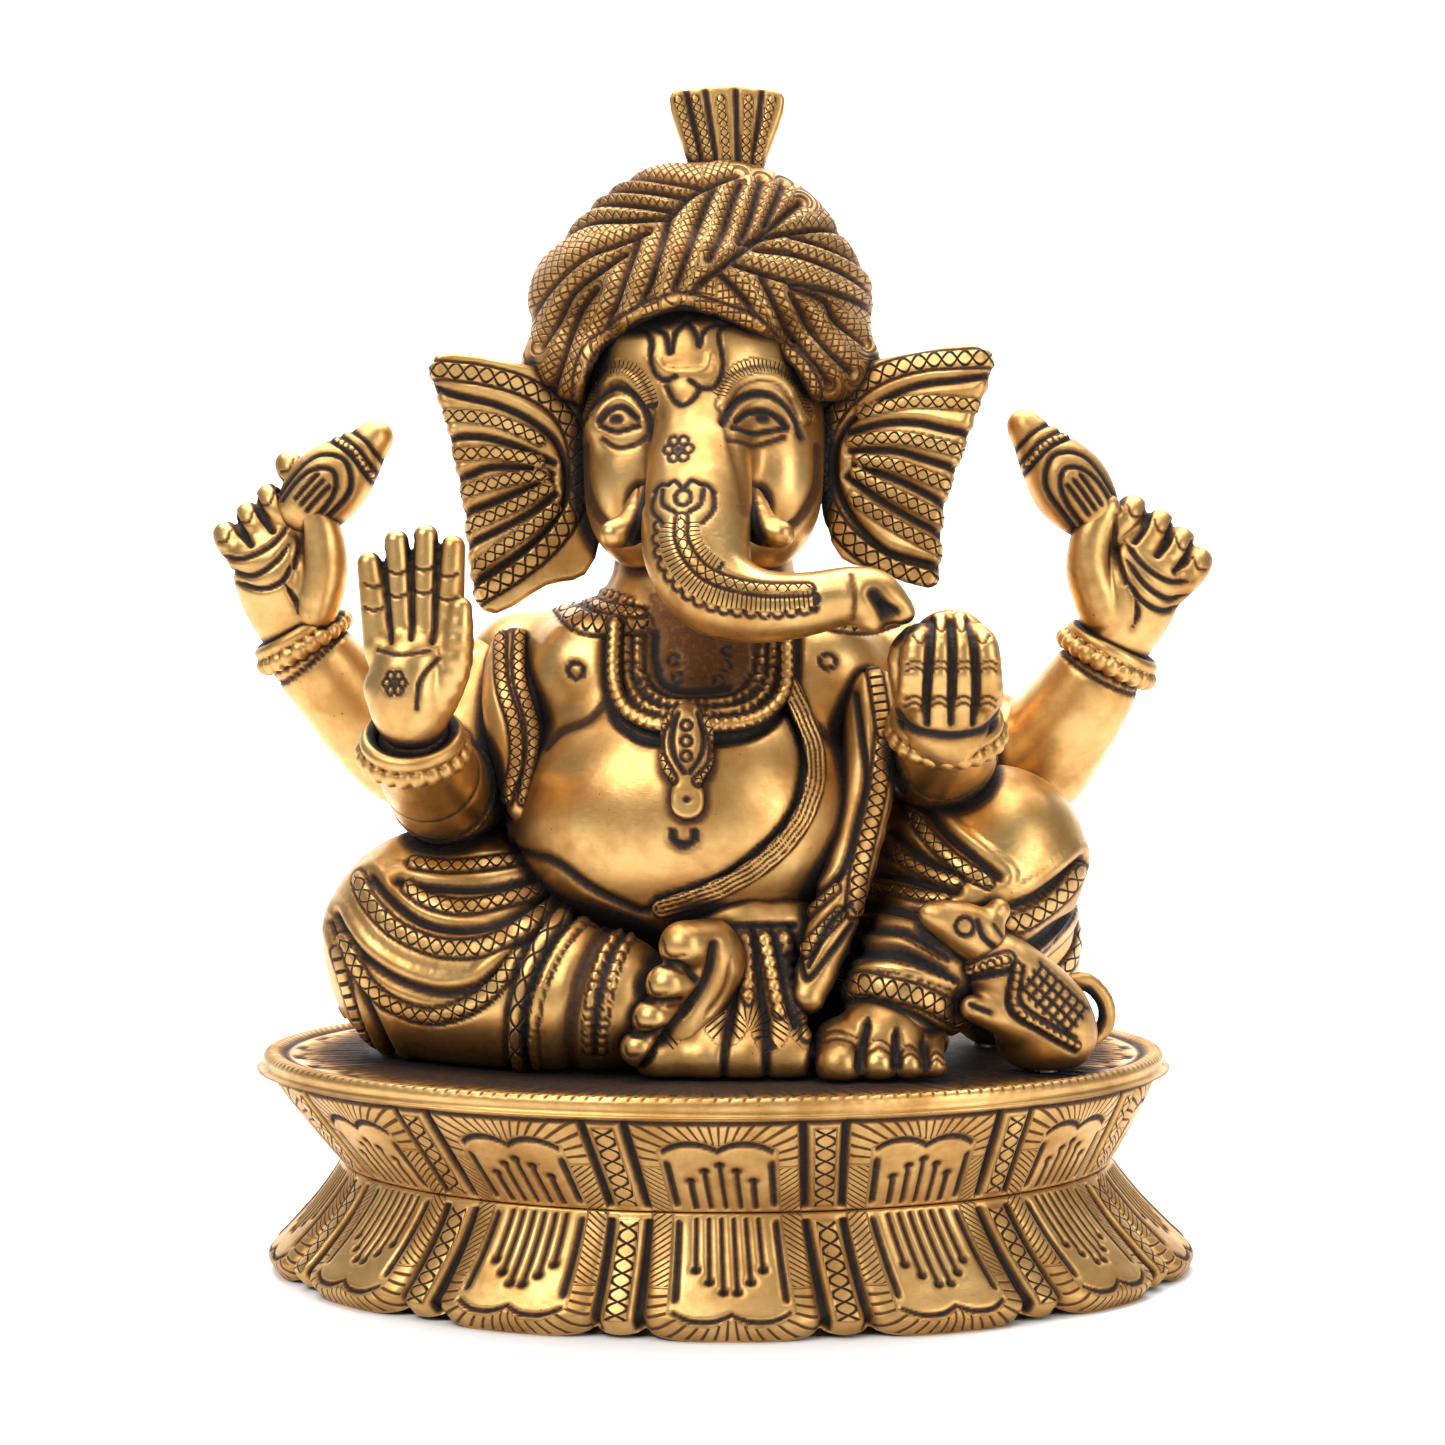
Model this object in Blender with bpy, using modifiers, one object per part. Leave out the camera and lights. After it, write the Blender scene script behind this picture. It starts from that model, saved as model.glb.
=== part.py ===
"""A seated brass Ganesha in a turban, on an oval lotus pedestal, with a mouse at its side.

The figure is an assembly of castings: pieces that were cast alone meet with a fine joint gap, where the
foundry brazes them. The pedestal is a lower tier, an upper tier and a deck plate, and three screws with
washers hold the figure to the deck from below. Lengths are in millimetres and MM turns them into metres.
The origin is the centre of the pedestal's foot, +Z is up and the figure faces -Y, so the figure's right
hand is on the -X side.
"""

import math

import bmesh
import bpy
from mathutils import Matrix, Vector

MM = 0.001
GAP = 0.3  # gap between flat faces that meet
JOINT_GAP = 0.5  # gap where one curved casting is cut back from another
UP = Vector((0, 0, 1))

# Pedestal, driving dimensions
FOOT_RADIUS = 91.5  # half width of the oval foot, at the petal tips
FOOT_OVAL = 0.75  # depth of the foot's oval over its width
FOOT_SHIFT = 3.6  # the pedestal was cast a little askew: its foot stands to the left of its deck
WAIST_RADIUS = 76.2
WAIST_SHIFT = 2.6
RIM_RADIUS = 89.0
OVAL = 0.8  # depth of the waist's and the deck's ovals over their width
WAIST_Z = 20.8
RIM_Z = 38.8
WALL = 4.0
PETALS = 14
STEPS_PER_PETAL = 8
DECK_THICKNESS = 2.6
DECK_Z = RIM_Z + GAP + DECK_THICKNESS  # the face that the figure sits on
SEAT_Z = DECK_Z + GAP  # the flat underside of the figure

# Screws that hold the figure down: (name, x, y) on the deck
SCREW_PLACES = (("right", -52.0, -8.0), ("left", 54.0, 2.0), ("rear", -2.0, 18.0), ("mouse", 62.0, -33.0))
SCREW_RADIUS = 2.0
SCREW_LENGTH = 9.0
WASHER_RADIUS = 4.5
WASHER_THICKNESS = 1.0
HEAD_HEIGHT = 2.6
SLOT_WIDTH = 1.0

BELLY_RADII = (36.0, 31.0, 29.0)

BRASS_BRIGHT = (0.72, 0.50, 0.20)
BRASS_DARK = (0.42, 0.27, 0.11)
STEEL = (0.55, 0.55, 0.56)


# ---------------------------------------------------------------- scene and materials


def start():
    """An empty scene with a collection for the parts and one for the cutters."""
    for obj in list(bpy.data.objects):
        bpy.data.objects.remove(obj)
    groups = []
    for name in ("ganesha_idol", "cutters"):
        group = bpy.data.collections.new(name)
        bpy.context.scene.collection.children.link(group)
        groups.append(group)
    return groups


PARTS, CUTTERS = start()


def metal(name, colour, roughness):
    made = bpy.data.materials.new(name)
    made.use_nodes = True
    shader = made.node_tree.nodes["Principled BSDF"]
    shader.inputs["Base Color"].default_value = (*colour, 1.0)
    shader.inputs["Metallic"].default_value = 1.0
    shader.inputs["Roughness"].default_value = roughness
    return made


def finish_for(name):
    if "screw" in name or "washer" in name:
        return metal(name, STEEL, 0.35)
    worn_smooth = ("head", "trunk", "arm", "hand", "leg", "foot", "torso", "sweet")
    if name.split("_")[-1] in worn_smooth:
        return metal(name, BRASS_BRIGHT, 0.28)
    return metal(name, BRASS_DARK, 0.45)


def place(name, bm, group=PARTS):
    """Makes an object of a bmesh that was built in millimetres."""
    bmesh.ops.scale(bm, vec=(MM, MM, MM), verts=bm.verts)
    bmesh.ops.recalc_face_normals(bm, faces=bm.faces)
    mesh = bpy.data.meshes.new(name)
    bm.to_mesh(mesh)
    bm.free()
    obj = bpy.data.objects.new(name, mesh)
    group.objects.link(obj)
    if group is PARTS:
        mesh.materials.append(finish_for(name))
    else:
        hide(obj)
    mesh.shade_smooth()
    mesh.set_sharp_from_angle(angle=math.radians(40))
    return obj


def hide(obj):
    obj.hide_render = True
    obj.display_type = "WIRE"


# ---------------------------------------------------------------- shapes


def ball(bm, centre, radii, tilt=0.0):
    """An ellipsoid. tilt turns it about Y, in degrees, which leans its top towards +X."""
    turn = Matrix.Rotation(math.radians(tilt), 4, "Y")
    size = Matrix.Diagonal((*radii, 1.0))
    where = Matrix.Translation(centre) @ turn @ size
    bmesh.ops.create_uvsphere(bm, u_segments=24, v_segments=16, radius=1.0, matrix=where)


def limb(bm, points):
    """A chain of round cones through points of (x, y, z, radius)."""
    for x, y, z, radius in points:
        ball(bm, (x, y, z), (radius, radius, radius))
    for first, last in zip(points, points[1:]):
        a, b = Vector(first[:3]), Vector(last[:3])
        turn = UP.rotation_difference(b - a).to_matrix().to_4x4()
        where = Matrix.Translation((a + b) / 2) @ turn
        bmesh.ops.create_cone(
            bm,
            cap_ends=True,
            segments=24,
            radius1=first[3],
            radius2=last[3],
            depth=(b - a).length,
            matrix=where,
        )


def ring(bm, centre, axis, radius, thickness):
    """A torus of round section, as a chain of short cones."""
    turn = UP.rotation_difference(Vector(axis)).to_matrix()
    steps = 24
    points = []
    for i in range(steps + 1):
        angle = math.tau * i / steps
        spoke = Vector((math.cos(angle), math.sin(angle), 0)) * radius
        points.append((*(Vector(centre) + turn @ spoke), thickness))
    limb(bm, points)


def cylinder(bm, centre, radius, height, segments=24):
    where = Matrix.Translation(centre)
    bmesh.ops.create_cone(
        bm, cap_ends=True, segments=segments, radius1=radius, radius2=radius, depth=height, matrix=where
    )


def box(bm, low, high):
    low, high = Vector(low), Vector(high)
    size = Matrix.Diagonal((*(high - low), 1.0))
    bmesh.ops.create_cube(bm, size=1.0, matrix=Matrix.Translation((low + high) / 2) @ size)


def casting(name, bm, voxel, faces, smoothing=6):
    """Fuses overlapping shapes into one soft body of about that many triangles."""
    obj = place(name, bm)
    remesh = obj.modifiers.new("fuse", "REMESH")
    remesh.mode = "VOXEL"
    remesh.voxel_size = voxel * MM
    soften = obj.modifiers.new("soften", "SMOOTH")
    soften.factor = 0.5
    soften.iterations = smoothing
    thin = obj.modifiers.new("thin", "DECIMATE")
    bpy.context.view_layer.update()
    evaluated = obj.evaluated_get(bpy.context.evaluated_depsgraph_get())
    thin.ratio = min(1.0, faces / max(1, 2 * len(evaluated.data.polygons)))
    return obj


def cut(obj, cutter, label="cut"):
    boolean = obj.modifiers.new(label, "BOOLEAN")
    boolean.operation = "DIFFERENCE"
    boolean.object = cutter


def clear_of(obj, *neighbours):
    """Cuts obj back by its neighbours and the joint gap, where they would overlap."""
    for other in neighbours:
        cutter = other.copy()
        cutter.name = f"{other.name}_room_in_{obj.name}"
        CUTTERS.objects.link(cutter)
        hide(cutter)
        for modifier in [m for m in cutter.modifiers if m.type == "BOOLEAN"]:
            cutter.modifiers.remove(modifier)
        grow = cutter.modifiers.new("gap", "DISPLACE")
        grow.strength = JOINT_GAP * MM
        grow.mid_level = 0.0
        cut(obj, cutter, other.name)


def flat_seat(obj, height=SEAT_Z):
    """Cuts the underside of obj flat, just over the deck."""
    bm = bmesh.new()
    box(bm, (-120, -120, -60), (120, 120, height))
    cut(obj, place(f"{obj.name}_seat_plane", bm, CUTTERS), "seat")


# ---------------------------------------------------------------- pedestal


def lobe(angle):
    """1 at the middle of a petal and 0 in the notch beside it, with a small lobe between two petals."""
    turn = angle / math.tau * PETALS % 1.0
    from_petal = min(turn, 1.0 - turn)  # 0 at a petal's middle, 0.5 between two petals
    petal_half = 0.37
    if from_petal < petal_half:
        return math.sqrt(max(0.0, 1 - (from_petal / petal_half) ** 4))
    return 0.7 * math.sqrt(max(0.0, 1 - ((0.5 - from_petal) / (0.5 - petal_half)) ** 2))


def oval_loop(bm, radius, z, lobes=0.0, inset=0.0):
    """A closed loop of vertices on the pedestal's oval at height z, pulled in by lobes between the petals."""
    below = max(0.0, 1 - z / WAIST_Z)
    above = max(0.0, (z - WAIST_Z) / (RIM_Z - WAIST_Z))
    oval = OVAL + (FOOT_OVAL - OVAL) * below
    shift = WAIST_SHIFT + (FOOT_SHIFT - WAIST_SHIFT) * below - WAIST_SHIFT * min(1.0, above)
    steps = PETALS * STEPS_PER_PETAL
    loop = []
    for i in range(steps):
        angle = math.tau * i / steps
        reach = radius - lobes * (1 - lobe(angle))
        x = shift + (reach - inset) * math.sin(angle)
        y = -(reach * oval - inset) * math.cos(angle)
        loop.append(bm.verts.new((x, y, z)))
    return loop


def skin(bm, loops, closed=False):
    """Faces between loops of the same number of vertices."""
    count = len(loops[0])
    following = loops[1:] + loops[:1] if closed else loops[1:]
    for first, last in zip(loops, following):
        for i in range(count):
            j = (i + 1) % count
            bm.faces.new((first[i], first[j], last[j], last[i]))
    if not closed:
        bm.faces.new(loops[0][::-1])
        bm.faces.new(loops[-1])


def tier(name, rows):
    """A ring-shaped shell through oval loops, given as (radius, z, lobes, inset) round its section."""
    bm = bmesh.new()
    skin(bm, [oval_loop(bm, *row) for row in rows], closed=True)
    return place(name, bm)


def pedestal():
    tier(
        "pedestal_lower_tier",
        [
            (WAIST_RADIUS, WAIST_Z, 0.0, 0.0),
            (WAIST_RADIUS + 6.5, WAIST_Z * 0.60, 1.6, 0.0),
            (FOOT_RADIUS, 3.4, 3.6, 0.0),
            (FOOT_RADIUS - 1.6, 0.0, 4.2, 0.0),
            (FOOT_RADIUS - 4.5, 0.0, 0.0, WALL),
            (WAIST_RADIUS, WAIST_Z, 0.0, WALL),
        ],
    )
    bottom = WAIST_Z + GAP
    height = RIM_Z - bottom
    tier(
        "pedestal_upper_tier",
        [
            (WAIST_RADIUS, bottom, 0.0, WALL),
            (RIM_RADIUS - 1.6, RIM_Z, 0.0, WALL),
            (RIM_RADIUS - 1.2, RIM_Z, 0.8, 0.0),
            (WAIST_RADIUS + 7.0, bottom + height * 0.55, 1.4, 0.0),
            (WAIST_RADIUS, bottom, 0.0, 0.0),
        ],
    )
    deck_plate()


def deck_plate():
    """The top plate, with a low rope rim, and a clear hole for each screw."""
    bm = bmesh.new()
    rows = [
        (RIM_RADIUS - 0.6, RIM_Z + GAP),
        (RIM_RADIUS, DECK_Z - 0.4),
        (RIM_RADIUS - 0.8, DECK_Z + 0.9),
        (RIM_RADIUS - 4.2, DECK_Z),
    ]
    skin(bm, [oval_loop(bm, *row) for row in rows])
    deck = place("pedestal_deck", bm)
    holes = bmesh.new()
    for _, x, y in SCREW_PLACES:
        cylinder(holes, (x, y, DECK_Z), SCREW_RADIUS + GAP, 4 * DECK_THICKNESS)
    cut(deck, place("deck_screw_holes", holes, CUTTERS), "screw holes")


def turned(bm, centre, profile, ring_shaped=False):
    """A body of revolution about Z, through a profile of (radius, z)."""
    segments = 14
    loops = []
    for radius, z in profile:
        loop = []
        for i in range(segments):
            angle = math.tau * i / segments
            x = centre[0] + radius * math.cos(angle)
            y = centre[1] + radius * math.sin(angle)
            loop.append(bm.verts.new((x, y, z)))
        loops.append(loop)
    skin(bm, loops, closed=ring_shaped)


def screws(drilled):
    """A pan head screw and a washer under the deck at each place, and its blind hole in the casting above."""
    washer_top = RIM_Z
    washer_bottom = washer_top - WASHER_THICKNESS
    head_top = washer_bottom - GAP
    head_bottom = head_top - HEAD_HEIGHT
    bore = SCREW_RADIUS + GAP
    for name, x, y in SCREW_PLACES:
        washer = bmesh.new()
        section = [(bore, washer_bottom), (WASHER_RADIUS, washer_bottom), (WASHER_RADIUS, washer_top), (bore, washer_top)]
        turned(washer, (x, y), section, ring_shaped=True)
        place(f"seat_washer_{name}", washer)

        screw = bmesh.new()
        head = WASHER_RADIUS - 0.8
        tip = DECK_Z + SCREW_LENGTH
        section = [
            (head - 1.0, head_bottom),
            (head, head_bottom + 0.9),
            (head, head_top),
            (SCREW_RADIUS, head_top),
            (SCREW_RADIUS, tip - 0.8),
            (SCREW_RADIUS - 0.8, tip),
        ]
        turned(screw, (x, y), section)
        screw = place(f"seat_screw_{name}", screw)
        slot = bmesh.new()
        box(slot, (x - head - 1, y - SLOT_WIDTH / 2, head_bottom - 1), (x + head + 1, y + SLOT_WIDTH / 2, head_bottom + 1.2))
        cut(screw, place(f"screw_slot_{name}", slot, CUTTERS), "slot")

        socket = bmesh.new()
        depth = SCREW_LENGTH + 1.5
        cylinder(socket, (x, y, DECK_Z + depth / 2), bore, depth)
        cut(drilled[name], place(f"screw_socket_{name}", socket, CUTTERS), "screw socket")


# ---------------------------------------------------------------- figure


def limbs(name, voxel, faces, *chains, smoothing=4):
    """A casting fused from chains of (x, y, z, radius)."""
    bm = bmesh.new()
    for chain in chains:
        limb(bm, chain)
    return casting(name, bm, voxel, faces, smoothing)


def torso_casting():
    """Hips, belly, chest, shoulders and neck."""
    bm = bmesh.new()
    ball(bm, (-1, 4, 58), (38, 27, 20))
    ball(bm, (-4, -9, 88), BELLY_RADII)
    ball(bm, (-2, 4, 110), (38, 24, 22))
    ball(bm, (-22, -8, 116), (15, 13, 13))
    ball(bm, (19, -8, 116), (15, 13, 13))
    limb(bm, [(-38, 5, 117, 12), (34, 5, 117, 12)])
    limb(bm, [(-2, 4, 120, 21), (-2, 2, 138, 18)])
    torso = casting("torso", bm, 3.0, 820)
    flat_seat(torso)
    return torso


def core(torso):
    """Hollows the torso from below, where the foundry's core was."""
    bm = bmesh.new()
    ball(bm, (-3, -5, 84), (28, 21, 34))
    cylinder(bm, (-3, -3, 52), 13, 40)
    hollow = casting("torso_core", bm, 3.0, 260)
    PARTS.objects.unlink(hollow)
    CUTTERS.objects.link(hollow)
    hide(hollow)
    cut(torso, hollow, "core")


def belly_front(x, z):
    """Y of the front of the belly at x and z."""
    across, up = (x + 4) / BELLY_RADII[0], (z - 88) / BELLY_RADII[2]
    return -9 - BELLY_RADII[1] * math.sqrt(max(0.05, 1 - across**2 - up**2))


def legs(torso):
    """The right leg is folded flat on the deck; the left knee is raised over its foot."""
    bm = bmesh.new()
    limb(bm, [(-24, -2, 63, 19), (-42, -5, 64, 21), (-55, -7, 64, 21.5)])
    limb(bm, [(-54, -12, 58, 18), (-36, -26, 56, 15), (-19, -34, 55, 12.5)])
    right = casting("right_leg", bm, 2.6, 560)
    bm = bmesh.new()
    limb(bm, [(24, 0, 62, 19), (42, -4, 74, 18.5), (55, -12, 81.5, 16.8)])
    limb(bm, [(55, -14, 78, 15.5), (47, -22, 66, 14), (35, -33, 56, 11)])
    ball(bm, (58, 2, 62), (15.5, 18, 21))
    left = casting("left_leg", bm, 2.6, 560)
    for leg in (right, left):
        flat_seat(leg)
        clear_of(leg, torso)
    return right, left


def feet(right_leg, left_leg, torso):
    """The right foot shows its side over the pleats; the left one stands flat."""
    toes = [(-5.2, -44, 66, 4.2), (-8.2, -45.5, 59, 3.4), (-11, -45.5, 53, 3.1), (-13.4, -45.5, 47.6, 2.8)]
    chains = [[(x + 5, y + 5, z, radius), (x, y, z, radius)] for x, y, z, radius in toes]
    sole = [(-1.5, -37, 62, 8), (-6, -39, 50, 6.5), (-9, -39, 46, 5)]
    right = limbs("right_foot", 1.3, 340, sole, *chains)
    toes = [(23.5, 4.3), (30.5, 3.5), (36, 3.0), (40.5, 2.6)]
    chains = [[(x, -38, 47.5, radius + 0.6), (x - 0.6, -46, 44.6, radius)] for x, radius in toes]
    left = limbs("left_foot", 1.3, 340, [(33, -33, 49, 9), (31, -38, 48, 8.6)], *chains)
    for foot, leg in ((right, right_leg), (left, left_leg)):
        flat_seat(foot)
        clear_of(foot, leg, torso)
    return right, left


def dhoti_pleats(*neighbours):
    """The fan of pleats that falls between the feet."""
    bm = bmesh.new()
    ball(bm, (6, -27, 66), (16, 9, 10))
    for x in (-9, -1.5, 6, 13):
        limb(bm, [(4 + x * 0.2, -31, 70, 4.5), (x * 0.8 + 1, -37, 55, 4.4), (x, -42.5, 45.5, 4.6)])
    pleats = casting("dhoti_pleats", bm, 1.6, 320, 3)
    flat_seat(pleats)
    clear_of(pleats, *neighbours)
    return pleats


def head_casting(torso):
    bm = bmesh.new()
    ball(bm, (-2, -2, 164), (24.5, 24, 26))
    ball(bm, (-15, -11, 153), (10.5, 13, 15))
    ball(bm, (11, -11, 153), (10.5, 13, 15))
    ball(bm, (-2, -7, 146), (18, 16, 12))
    head = casting("head", bm, 2.0, 520)
    clear_of(head, torso)
    return head


def trunk_casting(head):
    """Hangs from the brow and turns to the figure's left, up to the sweet."""
    path = [
        (-2, -21, 169, 7.2),
        (-2.3, -28.5, 158, 8.6),
        (-2.8, -35, 148, 9.6),
        (-3, -40, 138.5, 9.3),
        (0, -43.5, 131, 7.8),
        (7.2, -45.5, 127.8, 6.3),
        (16, -47, 127.8, 5.3),
        (24, -48, 129.4, 4.6),
        (29, -49, 129.2, 4.7),
        (32.5, -50, 125.6, 3.4),
    ]
    trunk = limbs("trunk", 1.5, 440, path)
    clear_of(head, trunk)
    return trunk


def tusks(head, trunk):
    """A short ringed tusk each side of the trunk."""
    for name, side in (("right", -1), ("left", 1)):
        root = -3 + side * 9.5
        path = [
            (root, -27, 148, 3.4),
            (root + side * 2.5, -33, 143, 3.2),
            (root + side * 6, -36, 141.4, 2.6),
        ]
        tusk = limbs(f"{name}_tusk", 0.9, 130, path)
        clear_of(tusk, head, trunk)


def sheet(name, outline, half_thickness, where):
    """A flat plate cut to an outline of (x, z), with softened edges, stood up and placed by a matrix."""
    bm = bmesh.new()
    front = [bm.verts.new((x, -half_thickness, z)) for x, z in outline]
    back = [bm.verts.new((x, half_thickness, z)) for x, z in outline]
    skin(bm, [front, back])
    bm.transform(where)
    plate = place(name, bm)
    soften = plate.modifiers.new("rounded edges", "BEVEL")
    soften.width = 0.9 * MM
    soften.segments = 2
    return plate


def ears(head, turban):
    """Thin fan-shaped plates that swing forward at their outer edges."""
    hinge = 20.0
    swing = math.radians(20)
    right = [(20, 170), (27, 174.5), (38, 176.5), (56, 177.5), (53.5, 164), (50.5, 150), (46.5, 128.5), (34, 133.5),
             (24, 139)]
    left = [(20, 172), (27, 176), (38, 178.5), (55.5, 178.8), (52, 164), (46.5, 148), (44.5, 133.5), (34, 136.5),
            (24, 142)]
    for name, outline, side in (("right", right, -1), ("left", left, 1)):
        flat = [(side * (x - hinge) / math.cos(swing), z) for x, z in outline]
        where = Matrix.Translation((side * hinge, -3, 0)) @ Matrix.Rotation(-side * swing, 4, "Z")
        ear = sheet(f"{name}_ear", flat, 2.0, where)
        clear_of(ear, head, turban)


def turban_casting(head, trunk):
    """A domed wrap whose thick brim dips at the ears and rises over the brow."""
    bm = bmesh.new()
    ball(bm, (-2.5, 4, 191), (34.5, 31, 20))
    ball(bm, (-1.5, 3, 200), (27, 25, 18.5))
    brim = [
        (-22, -15, 176, 6.5),
        (-29, -3, 178, 8),
        (-26, 13, 176, 11),
        (-15, 24, 175, 12),
        (-3, 27, 174, 12),
        (10, 24, 175, 12),
        (21, 13, 176, 11),
        (24, -3, 178, 8),
        (17, -15, 176, 6.5),
    ]
    limb(bm, brim)
    limb(bm, [brim[0], (-13, -23, 186, 7), (-2.5, -26, 191.5, 7), (8, -23, 186, 7), brim[-1]])
    turban = casting("turban", bm, 2.4, 640)
    clear_of(turban, head, trunk)
    return turban


def turban_plume(turban):
    """A pleated fan that stands in the top of the turban."""
    crown = [(-8.8, 230.8), (-3.5, 232.3), (2.5, 232.9), (8.5, 232.4), (14.2, 230.4)]
    outline = [(10, 219), (9, 212), (-4, 212), (-4.8, 219)] + crown
    plume = sheet("turban_plume", outline, 3.0, Matrix.Translation((0, -2, 0)))
    clear_of(plume, turban)


def arms(torso, right_leg, left_leg):
    """Upper arm and forearm of each of the four arms, up to the wrist."""
    paths = {
        "front_right_arm": [(-44, 3, 112, 12), (-48, -2, 103, 11.5), (-51, -10, 93.5, 10.5), (-53, -26, 96, 9),
                            (-54.3, -40, 101.5, 7.4)],
        "front_left_arm": [(40, 3, 112, 12), (43, 0, 104, 11.5), (44.5, -8, 98, 10.5), (44, -24, 101, 9.2),
                           (43.5, -36, 105.5, 8.2)],
        "back_right_arm": [(-38, 14, 114, 11), (-49, 17, 106, 11.5), (-60, 13, 99.5, 10.8), (-69, 8, 106, 9.6),
                           (-77, 4, 115.5, 8.4), (-82, 2, 121.5, 7.6)],
        "back_left_arm": [(34, 14, 114, 11), (50, 17, 105, 11.5), (64, 13, 98, 11), (71, 8, 106, 9.8),
                          (75.5, 5, 113, 8.6), (78.5, 3, 118.5, 7.6)],
    }
    made = {name: limbs(name, 2.0, 260, path) for name, path in paths.items()}
    for arm in made.values():
        clear_of(arm, torso)
    clear_of(made["front_right_arm"], right_leg)
    clear_of(made["front_left_arm"], left_leg)
    clear_of(made["back_right_arm"], made["front_right_arm"])
    clear_of(made["back_left_arm"], made["front_left_arm"])
    return made


def fingers(tips, knuckle_offset, radius):
    """Finger chains from a knuckle to each tip."""
    offset = Vector(knuckle_offset)
    return [[(*(Vector(tip) + offset), radius + 0.5), (*tip, radius)] for tip in tips]


def hands(arm):
    """An open palm in front, a cupped hand at the sweet, and two fists behind that hold emblems."""
    wrist = (-54.3, -45.4, 107.6, 6.2)
    roots = [(-59.8, 121), (-56, 122.6), (-51.8, 122.6), (-48.2, 121.4)]
    tips = [(-61.9, 135.2), (-57, 139.2), (-51.7, 140.2), (-46.8, 138.2)]
    open_fingers = [[wrist, (x, -46.5, z, 3.3), (u, -47, w, 2.2)] for (x, z), (u, w) in zip(roots, tips)]
    thumb = [(-50, -46, 111, 4.2), (-46.3, -48, 118, 3.1), (-45.2, -49, 127, 2.1)]
    hand = limbs("front_right_hand", 1.3, 380, *open_fingers, thumb)
    clear_of(hand, arm["front_right_arm"])
    made = {"front_right": hand}

    curled = [[(x, -46, 107, 3.2), (x, -51, 112, 2.7), (x, -51.5, 120, 2.2)] for x in (35.8, 40.2, 44.4, 48.4)]
    thumb = [(37, -42, 110, 3.6), (34.6, -44, 118, 2.8), (36.2, -45, 124, 2.2)]
    hand = limbs("front_left_hand", 1.3, 380, [(42.5, -43, 108, 7.5), (42.5, -43, 112, 8)], *curled, thumb)
    clear_of(hand, arm["front_left_arm"])
    made["front_left"] = hand

    tips = [(-96.4, -3, 143.6), (-92.2, -3.5, 147.8), (-88.3, -3.5, 151.2), (-84.8, -3, 157.4)]
    fist = [(-84, 1, 127, 7.5), (-86.5, 0, 136, 8.6), (-86, 0, 141, 7.5)]
    hand = limbs("back_right_hand", 1.5, 280, fist, *fingers(tips, (5, 2, -5), 2.6))
    clear_of(hand, arm["back_right_arm"])
    made["back_right"] = hand

    tips = [(83, -3, 147.2), (88.4, -3.5, 144.6), (92.8, -3.5, 141.4), (96.2, -3, 137.6)]
    fist = [(80.5, 1, 124, 7.5), (84, 0, 133, 8.6), (84, 0, 138, 7.5)]
    hand = limbs("back_left_hand", 1.5, 280, fist, *fingers(tips, (-5, 2, -5), 2.8))
    clear_of(hand, arm["back_left_arm"])
    made["back_left"] = hand
    return made


def bangles(arm, hand):
    """A plain hoop and a beaded one, side by side on each wrist, over the joint of arm and hand."""
    places = {
        "front_right": ((-54.6, -42.3, 102.6), (0.0, -0.6, 0.8), 8.4),
        "front_left": ((43, -38.5, 106), (0.0, -0.55, 0.83), 9.2),
        "back_right": ((-82.6, 2, 123.6), (-0.5, -0.2, 0.84), 8.6),
        "back_left": ((79.4, 2.5, 120.4), (0.45, -0.2, 0.87), 8.8),
    }
    made = {}
    for name, (centre, direction, radius) in places.items():
        along = Vector(direction).normalized()
        bm = bmesh.new()
        ring(bm, Vector(centre) + along * 1.5, along, radius - 0.3, 1.5)
        ring(bm, Vector(centre) - along * 1.1, along, radius + 0.3, 2.0)
        made[name] = casting(f"{name}_bangle", bm, 1.0, 240, 2)
        clear_of(arm[f"{name}_arm"], made[name])
        clear_of(hand[name], made[name])
    return made


def emblems(hand):
    """A lotus bud in each of the two back hands, leaning towards the head."""
    for name, (low, high) in {
        "back_right": ((-81, -4, 149), (-67.5, -4, 162.5)),
        "back_left": ((75, -4, 148), (62.2, -4, 164.5)),
    }.items():
        low, high = Vector(low), Vector(high)
        bud = [(*low, 5.2), (*low.lerp(high, 0.42), 7.2), (*low.lerp(high, 0.8), 5.2), (*high, 3.0)]
        emblem = limbs(f"{name}_emblem", 1.3, 200, bud)
        clear_of(emblem, hand[name])


def jewellery(torso, trunk):
    """The necklace, the pendant that hangs from it over the belly, and the sacred thread."""
    collar = [(-18.5, -19, 127, 2.2), (-18.5, -22.5, 117, 2.3), (-14, -26.5, 110.5, 2.6), (-3, -31, 108, 2.8),
              (8, -28, 110.5, 2.6), (14.5, -22.5, 117, 2.3), (14.5, -19, 127, 2.2)]
    necklace = limbs("necklace", 1.1, 320, collar)
    clear_of(necklace, torso, trunk)
    bm = bmesh.new()
    for x, z, wide, high in ((-4.5, 101.5, 6.8, 7.4), (-4.5, 92.6, 3.0, 4.2)):
        ball(bm, (x, belly_front(x, z) - 0.2, z), (wide, 2.6, high))
    pendant = casting("pendant", bm, 1.0, 180, 3)
    clear_of(pendant, torso, necklace)
    places = [(17, 111), (21, 104), (22, 96), (19.5, 86.5), (13, 79), (5, 75), (-4, 72.6), (-11, 71.6)]
    path = [(x, belly_front(x, z) - 0.4, z, 1.9) for x, z in places]
    thread = limbs("sacred_thread", 1.0, 260, path)
    clear_of(thread, torso)
    return thread


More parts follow.
